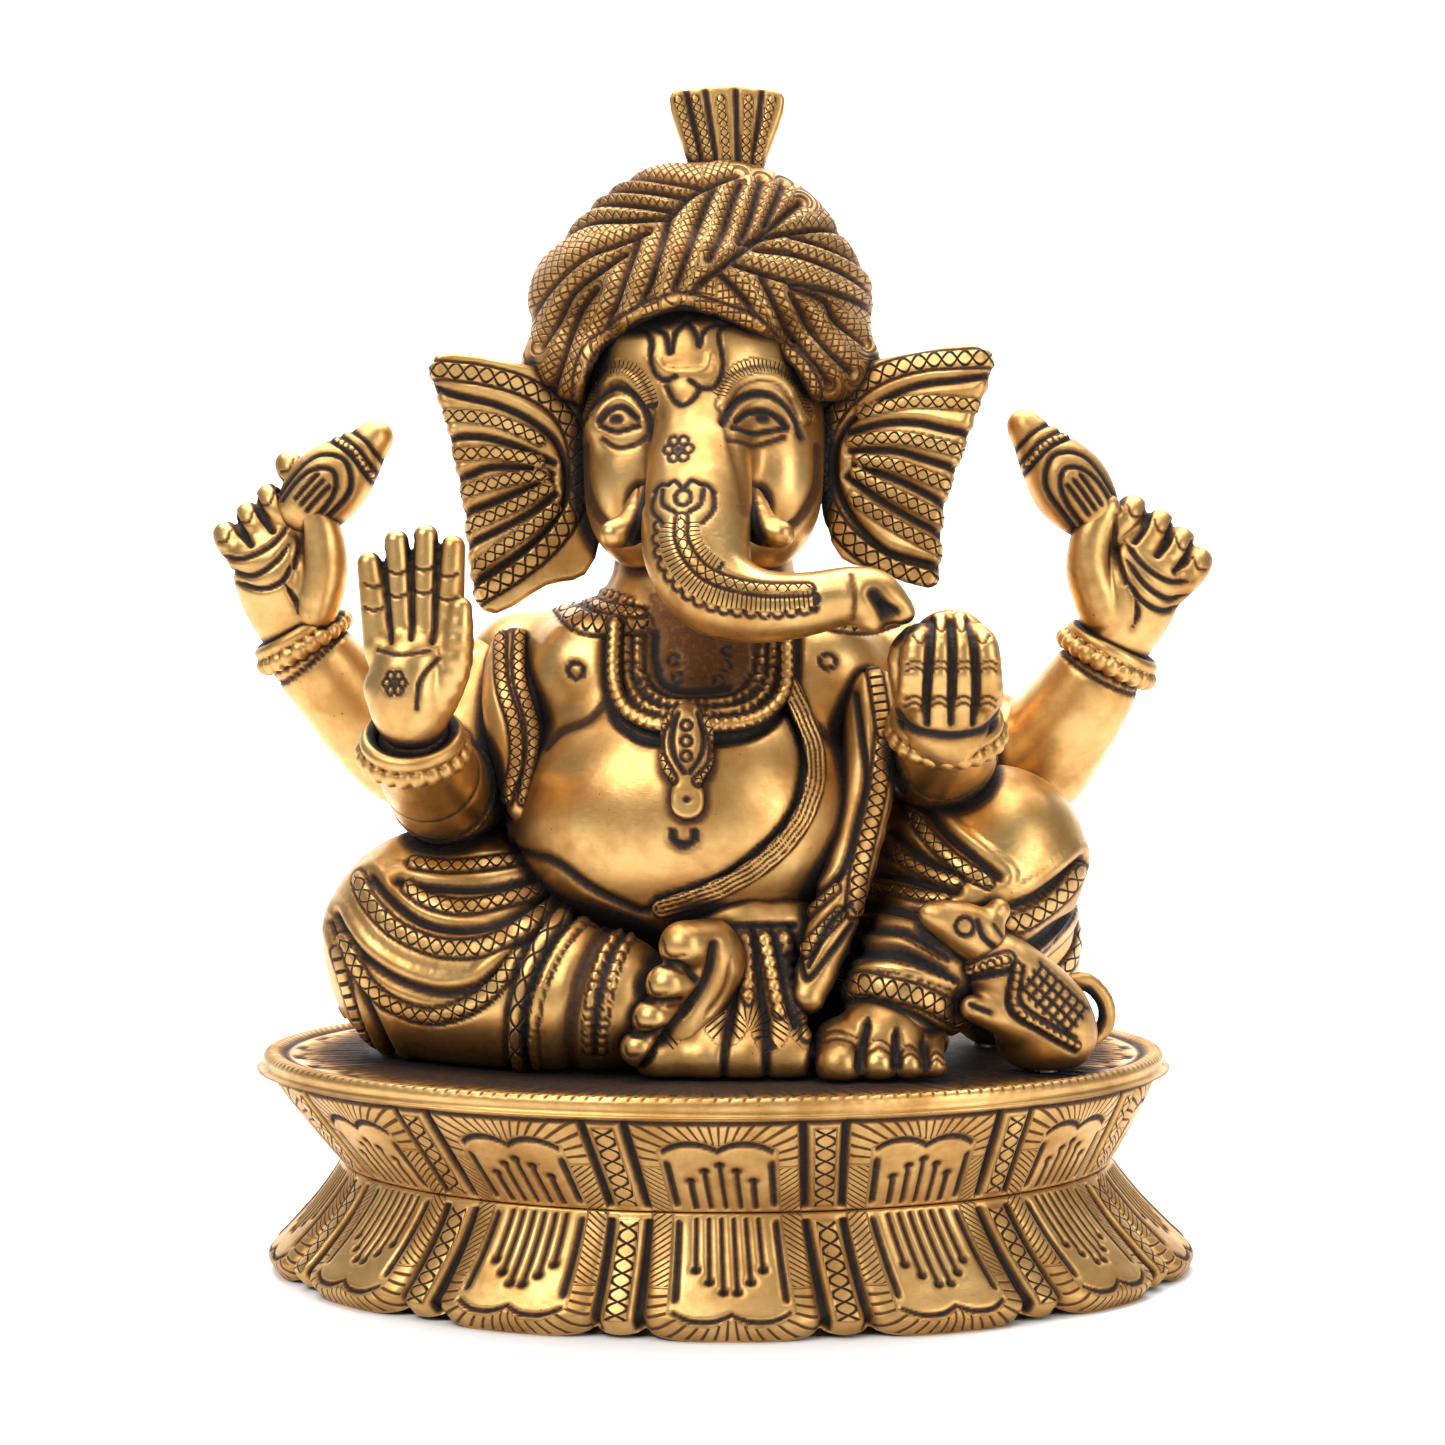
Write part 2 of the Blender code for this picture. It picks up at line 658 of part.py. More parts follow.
def shawls(torso, arm, right_leg, left_leg, pleats, thread):
    """The two ends of the shawl, between each front arm and the belly."""
    path = [(-39, -5, 120, 5.5), (-39, -12.5, 110, 5.5), (-37, -17, 100, 5), (-35.5, -18.5, 91, 4.2)]
    right = limbs("shawl_right", 1.6, 200, path)
    clear_of(right, torso, arm["front_right_arm"], right_leg)
    path = [(31, -18, 112, 5), (30, -22, 100, 5), (27.5, -26, 86, 4.6), (22.5, -32.5, 70, 4.2), (17.5, -38, 56, 3.2)]
    left = limbs("shawl_left", 1.6, 220, path)
    clear_of(left, torso, arm["front_left_arm"], left_leg, pleats, thread)
    return right, left


def mouse(left_leg, left_foot):
    """A mouse on its haunches by the left foot, its nose raised, its tail in a loop."""
    bm = bmesh.new()
    limb(bm, [(62.5, -34, 51.5, 8), (57, -36, 57, 7.2), (51.5, -37.5, 62.5, 5.8)])
    ball(bm, (62, -33, 48.5), (9.5, 8.5, 7.5))
    limb(bm, [(55, -39, 52, 4), (47.5, -42, 54.5, 2.4)])
    body = casting("mouse_body", bm, 1.5, 320)
    flat_seat(body)
    clear_of(body, left_leg, left_foot)
    nose = [(48.5, -39, 67.6, 5.2), (43, -41, 70.4, 3.2), (39.4, -42, 71.8, 1.7)]
    head = limbs("mouse_head", 1.1, 200, nose, [(51, -38.5, 70, 2.6), (52.6, -38, 72, 2.2)])
    clear_of(head, body, left_leg)
    path = [(66, -31, 57.4, 1.8), (70, -30, 58, 1.6), (73.4, -30, 54.5, 1.5), (73.6, -30, 50, 1.5), (70, -31, 46.6, 1.4)]
    tail = limbs("mouse_tail", 0.8, 180, path, smoothing=2)
    clear_of(tail, body, left_leg)
    return body


def sweet(hand, trunk):
    """A round sweet in the cupped hand, under the trunk's tip."""
    bm = bmesh.new()
    ball(bm, (43.2, -44.5, 120.5), (7.4, 5.5, 6.6))
    made = casting("sweet", bm, 1.3, 150)
    clear_of(made, hand["front_left"], trunk)


def main():
    pedestal()
    torso = torso_casting()
    right_leg, left_leg = legs(torso)
    right_foot, left_foot = feet(right_leg, left_leg, torso)
    pleats = dhoti_pleats(torso, right_leg, left_leg, right_foot, left_foot)
    head = head_casting(torso)
    trunk = trunk_casting(head)
    turban = turban_casting(head, trunk)
    turban_plume(turban)
    ears(head, turban)
    tusks(head, trunk)
    arm = arms(torso, right_leg, left_leg)
    hand = hands(arm)
    bangles(arm, hand)
    emblems(hand)
    sweet(hand, trunk)
    thread = jewellery(torso, trunk)
    shawls(torso, arm, right_leg, left_leg, pleats, thread)
    mouse_body = mouse(left_leg, left_foot)
    core(torso)
    screws({"right": right_leg, "left": left_leg, "rear": torso, "mouse": mouse_body})


main()
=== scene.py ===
"""Looks of the seated brass Ganesha: sculpted surfaces in antique brass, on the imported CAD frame.

Shapes are distance fields in millimetres, meshed here and then chased with grooves, ridges, beads and
bands, the way the engraver worked the casting. +X is the figure's left, -Y its front, +Z up. Front detail
is drawn in the X-Z plane of the object's front and falls on whatever surface lies behind it. Many of
the engraved lines' points were read off the photograph by eye and turned into millimetres by a separate
script; some of them were then adjusted by hand, and some were not.
"""

import math

import bpy
import numpy as np
from mathutils import Matrix, Vector


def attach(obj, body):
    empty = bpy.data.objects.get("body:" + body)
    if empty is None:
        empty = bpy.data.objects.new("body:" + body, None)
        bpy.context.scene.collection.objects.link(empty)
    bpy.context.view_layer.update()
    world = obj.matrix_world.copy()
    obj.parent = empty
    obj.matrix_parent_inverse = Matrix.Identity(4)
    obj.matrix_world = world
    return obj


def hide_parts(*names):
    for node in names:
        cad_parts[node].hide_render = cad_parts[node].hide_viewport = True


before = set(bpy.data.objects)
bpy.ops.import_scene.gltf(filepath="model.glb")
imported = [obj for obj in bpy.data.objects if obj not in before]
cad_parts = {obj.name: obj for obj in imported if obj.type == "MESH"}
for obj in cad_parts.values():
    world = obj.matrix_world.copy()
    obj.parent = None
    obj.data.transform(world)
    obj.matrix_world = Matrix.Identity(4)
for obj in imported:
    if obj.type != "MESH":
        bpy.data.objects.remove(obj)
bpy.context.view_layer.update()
MM = 0.001

# ---------------------------------------------------------------- distance fields


def egg(centre, radii, tilt=0.0, lean=0.0):
    """An ellipsoid. tilt turns it about Y, leaning its top to +X, and lean about X, in degrees."""
    centre = np.array(centre, float)
    radii = np.array(radii, float)
    turn = np.array(Matrix.Rotation(math.radians(tilt), 3, "Y") @ Matrix.Rotation(math.radians(lean), 3, "X"))

    def field(p):
        q = (p - centre) @ turn
        near = np.linalg.norm(q / radii, axis=1)
        slope = np.linalg.norm(q / (radii * radii), axis=1)
        return near * (near - 1.0) / np.maximum(slope, 1e-6)

    return field


def smooth_curve(points, per_span=5):
    """Catmull-Rom points through the given ones."""
    points = np.array(points, float)
    if len(points) < 3:
        return points
    padded = np.vstack([2 * points[0] - points[1], points, 2 * points[-1] - points[-2]])
    out = []
    for a, b, c, d in zip(padded, padded[1:], padded[2:], padded[3:]):
        for t in np.arange(per_span) / per_span:
            out.append(0.5 * ((2 * b) + (c - a) * t + (2 * a - 5 * b + 4 * c - d) * t**2
                              + (3 * b - a - 3 * c + d) * t**3))
    out.append(points[-1])
    return np.array(out)


def tube(points, soft=0.6, per_span=3):
    """A round limb along points of (x, y, z, radius)."""
    path = smooth_curve(points, per_span)

    def field(p):
        best = None
        for a, b in zip(path, path[1:]):
            along = b[:3] - a[:3]
            t = np.clip((p - a[:3]) @ along / max(along @ along, 1e-9), 0, 1)
            d = np.linalg.norm(p - a[:3] - t[:, None] * along, axis=1) - (a[3] + t * (b[3] - a[3]))
            best = d if best is None else melt(best, d, soft)
        return best

    return field


def melt(a, b, soft):
    """Smooth minimum of two distances."""
    h = np.maximum(soft - np.abs(a - b), 0.0) / soft
    return np.minimum(a, b) - h * h * soft * 0.25


def union(*fields, soft=2.0):
    def field(p):
        best = fields[0](p)
        for other in fields[1:]:
            best = melt(best, other(p), soft)
        return best

    return field


def minus(body, tool, soft=0.8):
    return lambda p: -melt(-body(p), tool(p), soft)


def above(body, height, soft=1.0):
    """The part of a body over a height."""
    return lambda p: -melt(-body(p), -(height - p[:, 2]), soft)


def plate(outline, thickness, hinge=0.0, swing=0.0, at_y=0.0, bow=0.0, edge=1.2):
    """A flat sheet with an outline of (x, z), swung about a vertical hinge, bowed forward at its middle."""
    outline = smooth_curve(np.vstack([outline, outline[:1]]), 4)[:-1]
    a = outline
    b = np.roll(outline, -1, axis=0)
    cos, sin = math.cos(math.radians(swing)), math.sin(math.radians(swing))
    middle = outline.mean(axis=0)
    reach = np.ptp(outline, axis=0).max() / 2

    def field(p):
        x = (p[:, 0] - hinge) * cos + (p[:, 1] - at_y) * sin
        y = -(p[:, 0] - hinge) * sin + (p[:, 1] - at_y) * cos
        q = np.stack([x + hinge, p[:, 2]], axis=1)
        y = y + bow * np.clip(1 - (((q - middle) / reach) ** 2).sum(axis=1), 0, 1)
        flat = polygon_distance(q, a, b)
        rim = flat + edge
        side = np.abs(y) - thickness / 2 + edge
        return np.hypot(np.maximum(rim, 0), np.maximum(side, 0)) + np.minimum(np.maximum(rim, side), 0) - edge

    return field


def front_outline(outline, behind):
    """Everything in front of a depth, within an outline of (x, z)."""
    outline = smooth_curve(outline, 4)
    following = np.roll(outline, -1, axis=0)
    return lambda p: np.maximum(polygon_distance(p[:, [0, 2]], outline, following), p[:, 1] - behind)


def relief(body, rise, half, path, sink=0.8):
    """A strip raised from the front of a body, along a line of (x, z)."""
    path = smooth_curve(path, 5)

    def field(p):
        q = p[:, [0, 2]]
        best = np.full(len(q), 1e9)
        for a, b in zip(path, path[1:]):
            along = b - a
            t = np.clip((q - a) @ along / max(along @ along, 1e-9), 0, 1)
            best = np.minimum(best, np.linalg.norm(q - a - t[:, None] * along, axis=1))
        over = body(p)
        round_top = np.hypot(np.maximum(best - half + 0.8, 0), np.maximum(over - rise + 0.8, 0)) - 0.8
        return np.maximum(np.maximum(round_top, -over - sink), p[:, 1] + 4)

    return field


def hoop(centre, axis, radius, thick, beads=0):
    """A ring round an axis, plain or in beads."""
    centre = np.array(centre, float)
    axis = np.array(axis, float) / np.linalg.norm(axis)
    side = np.cross(axis, (0.3, 0.9, 0.1))
    side /= np.linalg.norm(side)

    def field(p):
        off = p - centre
        along = off @ axis
        out = off - along[:, None] * axis
        size = thick
        if beads:
            turn = np.arctan2(out @ side, out @ np.cross(axis, side))
            size = thick * (0.72 + 0.28 * np.abs(np.cos(turn * beads / 2)))
        return np.hypot(np.linalg.norm(out, axis=1) - radius, along) - size

    return field


def polygon_distance(q, a, b):
    """Signed distance from points to a closed outline, negative inside."""
    best = np.full(len(q), 1e9)
    inside = np.zeros(len(q), bool)
    for s, e in zip(a, b):
        along = e - s
        t = np.clip((q - s) @ along / max(along @ along, 1e-9), 0, 1)
        best = np.minimum(best, np.linalg.norm(q - s - t[:, None] * along, axis=1))
        crosses = (s[1] > q[:, 1]) != (e[1] > q[:, 1])
        reach = s[0] + (q[:, 1] - s[1]) * along[0] / (along[1] if abs(along[1]) > 1e-9 else 1e-9)
        inside ^= crosses & (q[:, 0] < reach)
    return np.where(inside, -best, best)


# ---------------------------------------------------------------- from field to mesh

BLOCK = 6


def sampled(field, low, step, blocks):
    """The field on a grid, exact near the surface and only right in sign elsewhere."""
    shape = blocks * BLOCK
    side = BLOCK * step
    centres = np.stack(np.meshgrid(*[low[i] + side * (np.arange(blocks[i]) + 0.5) for i in range(3)],
                                   indexing="ij"), axis=-1)
    coarse = field(centres.reshape(-1, 3)).reshape(blocks)
    values = coarse.astype(np.float32)
    for axis in range(3):
        values = np.repeat(values, BLOCK, axis=axis)
    near = np.argwhere(np.abs(coarse) < side * 1.15 + 2 * step)
    cell = np.stack(np.meshgrid(*[np.arange(BLOCK)] * 3, indexing="ij"), axis=-1).reshape(-1, 3)
    for part in np.array_split(near, max(1, len(near) // 1500)):
        where = (part[:, None, :] * BLOCK + cell[None]).reshape(-1, 3)
        found = field(low + step * (where + 0.5))
        values[where[:, 0], where[:, 1], where[:, 2]] = found
    return values, shape


CORNERS = np.array([(i, j, k) for i in (0, 1) for j in (0, 1) for k in (0, 1)])
EDGES = [(a, b) for a in range(8) for b in range(a + 1, 8) if np.abs(CORNERS[a] - CORNERS[b]).sum() == 1]


def skin_of(field, low, high, step):
    """Vertices and quads of the field's zero surface, by surface nets."""
    low = np.array(low, float)
    blocks = np.ceil((np.array(high, float) - low) / (step * BLOCK)).astype(int)
    values, shape = sampled(field, low, step, blocks)
    solid = values < 0
    count = np.zeros(shape - 1, np.int8)
    for i, j, k in CORNERS:
        count += solid[i:shape[0] - 1 + i, j:shape[1] - 1 + j, k:shape[2] - 1 + k]
    cells = np.argwhere((count > 0) & (count < 8))
    number = np.full(shape - 1, -1, np.int32)
    number[tuple(cells.T)] = np.arange(len(cells))
    corner = np.stack([values[tuple((cells + c).T)] for c in CORNERS], axis=1)
    total = np.zeros((len(cells), 3))
    crossings = np.zeros(len(cells))
    for a, b in EDGES:
        first, last = corner[:, a], corner[:, b]
        crossed = (first < 0) != (last < 0)
        t = np.where(crossed, first / np.where(crossed, first - last, 1.0), 0.0)
        spot = CORNERS[a] + t[:, None] * (CORNERS[b] - CORNERS[a])
        total += spot * crossed[:, None]
        crossings += crossed
    points = low + step * (cells + total / crossings[:, None] + 0.5)
    quads = []
    for axis in range(3):
        u, v = (axis + 1) % 3, (axis + 2) % 3
        ahead = [slice(None)] * 3
        ahead[axis] = slice(1, None)
        behind = [slice(None)] * 3
        behind[axis] = slice(0, -1)
        flips = solid[tuple(behind)] != solid[tuple(ahead)]
        at = np.argwhere(flips)
        at = at[(at[:, u] > 0) & (at[:, v] > 0) & (at[:, u] < shape[u] - 1) & (at[:, v] < shape[v] - 1)]
        ring = []
        for du, dv in ((-1, -1), (0, -1), (0, 0), (-1, 0)):
            cell = at.copy()
            cell[:, u] += du
            cell[:, v] += dv
            ring.append(number[tuple(cell.T)])
        ring = np.stack(ring, axis=1)
        outward = solid[tuple(at.T)]
        ring[~outward] = ring[~outward][:, ::-1]
        quads.append(ring)
    quads = np.vstack(quads)
    return points, quads[(quads >= 0).all(axis=1)]


def slope_of(field, p, eps=0.04):
    """Unit outward directions of the field at points."""
    out = np.empty_like(p)
    for axis in range(3):
        nudge = np.zeros(3)
        nudge[axis] = eps
        out[:, axis] = field(p + nudge) - field(p - nudge)
    size = np.linalg.norm(out, axis=1)
    return out / np.maximum(size, 1e-9)[:, None], size / (2 * eps)


def settle(field, p, rounds=2):
    for _ in range(rounds):
        direction, steepness = slope_of(field, p)
        p = p - direction * np.clip(field(p) / np.maximum(steepness, 0.3), -0.5, 0.5)[:, None]
    return p, slope_of(field, p)[0]


SHAPES = {}


def shape(name, field, low, high, step=0.5):
    SHAPES[name] = (field, np.array(low, float), np.array(high, float), step)
    return field


def openness(p, n):
    """0 where other metal closes in on a surface, 1 where it stands free."""
    free = np.ones(len(p))
    for reach in (1.2, 3.5):
        spots = p + n * reach
        nearest = np.full(len(p), reach)
        for field, low, high, _ in SHAPES.values():
            close = ((spots > low - 3) & (spots < high + 3)).all(axis=1)
            if close.any():
                nearest[close] = np.minimum(nearest[close], field(spots[close]))
        free = np.minimum(free, np.clip(nearest / reach, 0, 1) ** 0.8)
    return free


# ---------------------------------------------------------------- chasing


class Work:
    """A surface being chased: its points, outward directions, raised height, darkness and fine patterns."""

    def __init__(self, points, normals):
        self.p = points
        self.n = normals
        self.height = np.zeros(len(points))
        self.dark = np.zeros(len(points))
        self.uv = np.zeros((len(points), 2))
        self.kind = {name: np.zeros(len(points)) for name in ("scales", "hatch", "weave")}

    def near(self, path, reach, face):
        """Distance, side and length along a path, for the points close to it."""
        flat = path.shape[1] == 2
        where = self.p[:, [0, 2]] if flat else self.p
        picked = ((where > path.min(axis=0) - reach) & (where < path.max(axis=0) + reach)).all(axis=1)
        if flat and face == "front":
            picked &= self.n[:, 1] < 0.25
        if flat and face == "back":
            picked &= self.n[:, 1] > -0.25
        rows = np.flatnonzero(picked)
        q = where[rows]
        best = np.full(len(rows), 1e9)
        side = np.ones(len(rows))
        length = np.zeros(len(rows))
        run = 0.0
        for a, b in zip(path, path[1:]):
            along = b - a
            size = np.linalg.norm(along)
            if size < 1e-9:
                continue
            t = np.clip((q - a) @ along / size**2, 0, 1)
            off = q - a - t[:, None] * along
            d = np.linalg.norm(off, axis=1)
            better = d < best
            best[better] = d[better]
            length[better] = run + t[better] * size
            if flat:
                side[better] = np.sign(along[0] * off[better, 1] - along[1] * off[better, 0])
            run += size
        close = best < reach
        return rows[close], best[close], side[close], length[close], run

    def groove(self, points, width=0.8, depth=0.5, dark=1.0, face="front", taper=0.0):
        path = smooth_curve(points, 6)
        rows, d, _, s, run = self.near(path, 3 * width + 1, face)
        thin = np.ones(len(rows))
        if taper:
            thin = np.clip(np.minimum(s, run - s) / taper, 0.15, 1)
        cut = np.exp(-((d / (width * thin)) ** 2))
        self.height[rows] -= depth * cut * thin
        halo = 0.34 * dark * np.exp(-((d / (1.6 * width + 0.4)) ** 2))
        self.dark[rows] = np.maximum(self.dark[rows], np.maximum(dark * np.clip(cut * 1.3, 0, 1), halo))

    def ridge(self, points, width=1.5, height=0.8, face="front", edge=0.6):
        """A rounded raised line with a dark edge."""
        path = smooth_curve(points, 6)
        rows, d, _, _, _ = self.near(path, 2.2 * width, face)
        crown = height * np.sqrt(np.clip(1 - (d / width) ** 2, 0, 1))
        self.height[rows] = np.maximum(self.height[rows], crown)
        self.dark[rows] = np.where(d < width * 0.8, self.dark[rows] * 0.2, self.dark[rows])
        self.dark[rows] = np.maximum(self.dark[rows],
                                     edge * np.exp(-(((d - width * 1.08) / (0.3 * width)) ** 2)))

    def band(self, points, half, kind="scales", period=2.0, height=0.25, edge=0.9, face="front", along=True):
        """A raised strip of fine pattern with a groove along each side."""
        path = smooth_curve(points, 6)
        rows, d, side, s, _ = self.near(path, half * 1.9, face)
        inner = d < half
        lift = height * np.clip((half - d) / (0.25 * half), 0, 1) ** 0.5
        self.height[rows] = np.where(inner, np.maximum(self.height[rows], 0) * 0.3 + lift, self.height[rows])
        rim = np.exp(-(((d - half * 1.08) / 0.35) ** 2))
        self.height[rows] -= 0.4 * edge * rim
        inside = rows[inner]
        for name in self.kind:
            self.kind[name][inside] = 0.0
        self.kind[kind][inside] = 1.0
        self.uv[inside, 0] = (s[inner] if along else side[inner] * d[inner]) / period
        self.uv[inside, 1] = side[inner] * d[inner] / half
        self.dark[inside] *= 0.3
        self.dark[rows] = np.maximum(self.dark[rows], edge * rim)

    def beads(self, points, radius=0.8, spacing=1.9, height=None, face="front"):
        """A row of round beads."""
        path = smooth_curve(points, 6)
        rows, d, _, s, _ = self.near(path, radius * 2.2, face)
        off = (s / spacing) % 1.0 - 0.5
        away = np.hypot(d, off * spacing)
        tall = radius * 0.75 if height is None else height
        dome = tall * np.sqrt(np.clip(1 - (away / radius) ** 2, 0, 1))
        shoulder = d < radius * 1.25
        self.height[rows] = np.where(shoulder, dome, self.height[rows])
        gap = np.exp(-(((away - radius * 1.12) / (0.35 * radius)) ** 2)) * (d < radius * 1.6)
        self.dark[rows] = np.where(away < radius * 0.85, self.dark[rows] * 0.2,
                                   np.maximum(self.dark[rows], 0.85 * gap))

    def folded(self, curves, depth, width, reach, face="front"):
        """Deep dark creases with the cloth swelling up beside them."""
        nearest = np.full(len(self.p), 99.0)
        for points in curves:
            rows, d, _, _, _ = self.near(smooth_curve(points, 6), reach + width, face)
            nearest[rows] = np.minimum(nearest[rows], d)
        cut = np.exp(-((nearest / (0.5 * width)) ** 2))
        swell = np.exp(-(((nearest - 1.5 * width) / (0.8 * width)) ** 2))
        self.height += depth * (0.45 * swell - 1.15 * cut)
        halo = 0.30 * np.exp(-((nearest / (1.3 * width)) ** 2))
        self.dark = np.maximum(self.dark, np.maximum(np.clip(cut * 1.25, 0, 1), halo))

    def fringe(self, points, half, period, face="front"):
        """Short cuts side by side across a line."""
        rows, d, side, s, _ = self.near(smooth_curve(points, 6), half, face)
        for name in self.kind:
            self.kind[name][rows] = 0.0
        self.kind["hatch"][rows] = np.clip((half - d) / (0.3 * half), 0, 1)
        self.uv[rows, 0] = s / period
        self.uv[rows, 1] = side * d / half

    def scallops(self, points, radius, spacing, face="front"):
        """A row of small arcs, open toward the left of the line's direction."""
        rows, d, side, s, _ = self.near(smooth_curve(points, 6), radius * 1.8, face)
        off = ((s / spacing) % 1.0 - 0.5) * spacing
        away = np.abs(np.hypot(off, d * side) - radius * 1.15)
        cut = np.exp(-((away / 0.32) ** 2)) * (d * side < 0.2)
        self.height[rows] -= 0.35 * cut
        self.dark[rows] = np.maximum(self.dark[rows], cut)

    def hoop(self, centre, axis, kind):
        """A hem right round a limb."""
        off = self.p - centre
        along = off @ axis
        out = off - along[:, None] * axis
        picked = (np.abs(along) < 4) & (np.linalg.norm(out, axis=1) < 16)
        side = np.array((0.0, 0.0, 1.0)) if abs(axis[2]) < 0.8 else np.array((0.0, 1.0, 0.0))
        side -= axis * (side @ axis)
        side /= np.linalg.norm(side)
        turn = np.arctan2(out @ side, out @ np.cross(axis, side))
        edges = (-1.7, 1.7) if kind == "band" else (0.0,)
        for edge in edges:
            cut = np.exp(-(((along - edge) / 0.5) ** 2)) * picked
            self.height -= 0.5 * cut
            self.dark = np.maximum(self.dark, cut)
        if kind == "band":
            inside = picked & (np.abs(along) < 1.5)
            self.height[inside] += 0.35
            self.kind["scales"][inside] = 1.0
            self.uv[inside, 0] = turn[inside] * 4.6
            self.uv[inside, 1] = along[inside] / 1.5

    def darken_patch(self, low, high, amount, face="front"):
        """Darkens a patch of the front or back, fading at its edges."""
        where = self.p[:, [0, 2]]
        middle = (np.array(low) + high) / 2
        half = (np.array(high, float) - low) / 2
        away = np.abs(where - middle) / half
        fade = np.clip((1.15 - away.max(axis=1)) / 0.3, 0, 1)
        fade *= self.n[:, 1] < 0.25 if face == "front" else self.n[:, 1] > -0.25
        self.dark = np.maximum(self.dark, amount * fade)

    def folds(self, curves, height=1.0, width=1.6, face="front", dark=1.0, weave=0.0, reach=4.0):
        """Rounded cloth folds between groove lines."""
        nearest = np.full(len(self.p), reach)
        length = np.zeros(len(self.p))
        number = np.zeros(len(self.p))
        for i, points in enumerate(curves):
            rows, d, _, s, _ = self.near(smooth_curve(points, 6), reach, face)
            better = d < nearest[rows]
            hit = rows[better]
            nearest[hit] = d[better]
            length[hit] = s[better]
            number[hit] = i
        rows = np.flatnonzero(nearest < reach)
        d = nearest[rows]
        turned = -self.n[rows, 1] if face == "front" else self.n[rows, 1]
        fade = np.clip((turned + 0.06) / 0.3, 0, 1)
        rise = 1 - np.clip(1 - d / width, 0, 1) ** 2
        self.height[rows] = np.where(fade > 0, height * (rise - 0.7) * fade, self.height[rows])
        crease = np.maximum(np.exp(-((d / 0.6) ** 2)), 0.4 * np.exp(-((d / 1.5) ** 2)))
        self.dark[rows] = np.maximum(self.dark[rows] * (1 - 0.7 * fade), dark * crease * fade)
        if weave:
            on = rows[(d > 0.5) & (fade > 0)]
            for name in self.kind:
                self.kind[name][on] = 0.0
            self.kind["weave"][on] = fade[(d > 0.5) & (fade > 0)]
            self.uv[on, 0] = length[on] / weave
            self.uv[on, 1] = nearest[on] / weave + number[on] * 0.5


# ---------------------------------------------------------------- antique brass


class Nodes:
    """Short calls for building a material's node tree."""

    def __init__(self, name):
        self.material = bpy.data.materials.new(name)
        self.material.use_nodes = True
        self.tree = self.material.node_tree
        self.tree.nodes.clear()

    def add(self, kind, inputs=None, **settings):
        node = self.tree.nodes.new(kind)
        for key, value in settings.items():
            setattr(node, key, value)
        for key, value in (inputs or {}).items():
            if isinstance(value, bpy.types.NodeSocket):
                self.tree.links.new(value, node.inputs[key])
            else:
                node.inputs[key].default_value = value
        return node

    def math(self, operation, a, b=0.0, clamp=False):
        return self.add("ShaderNodeMath", {0: a, 1: b}, operation=operation, use_clamp=clamp).outputs[0]

    def attribute(self, name, output="Fac"):
        return self.add("ShaderNodeAttribute", attribute_name=name).outputs[output]

    def ramp(self, value, low, high, clamp=True):
        """0 at low and 1 at high."""
        node = self.add("ShaderNodeMapRange", {"Value": value, "From Min": low, "From Max": high},
                        clamp=clamp)
        return node.outputs["Result"]

    def mix(self, factor, a, b):
        node = self.add("ShaderNodeMix", data_type="RGBA")
        for socket, value in ((node.inputs[0], factor), (node.inputs[6], a), (node.inputs[7], b)):
            if isinstance(value, bpy.types.NodeSocket):
                self.tree.links.new(value, socket)
            else:
                socket.default_value = value
        return node.outputs[2]

    def noise(self, scale, detail=3.0, rough=0.55, vector=None):
        inputs = {"Scale": scale, "Detail": detail, "Roughness": rough}
        if vector is not None:
            inputs["Vector"] = vector
        return self.add("ShaderNodeTexNoise", inputs).outputs["Fac"]


BRIGHT = (0.66, 0.405, 0.15, 1)
WARM = (0.45, 0.235, 0.07, 1)
# the brown and the near-black stand for patina in the grooves and for painted shade where metal closes in
BROWN = (0.125, 0.052, 0.018, 1)
BLACK_PATINA_AND_SHADE = (0.006, 0.004, 0.003, 1)


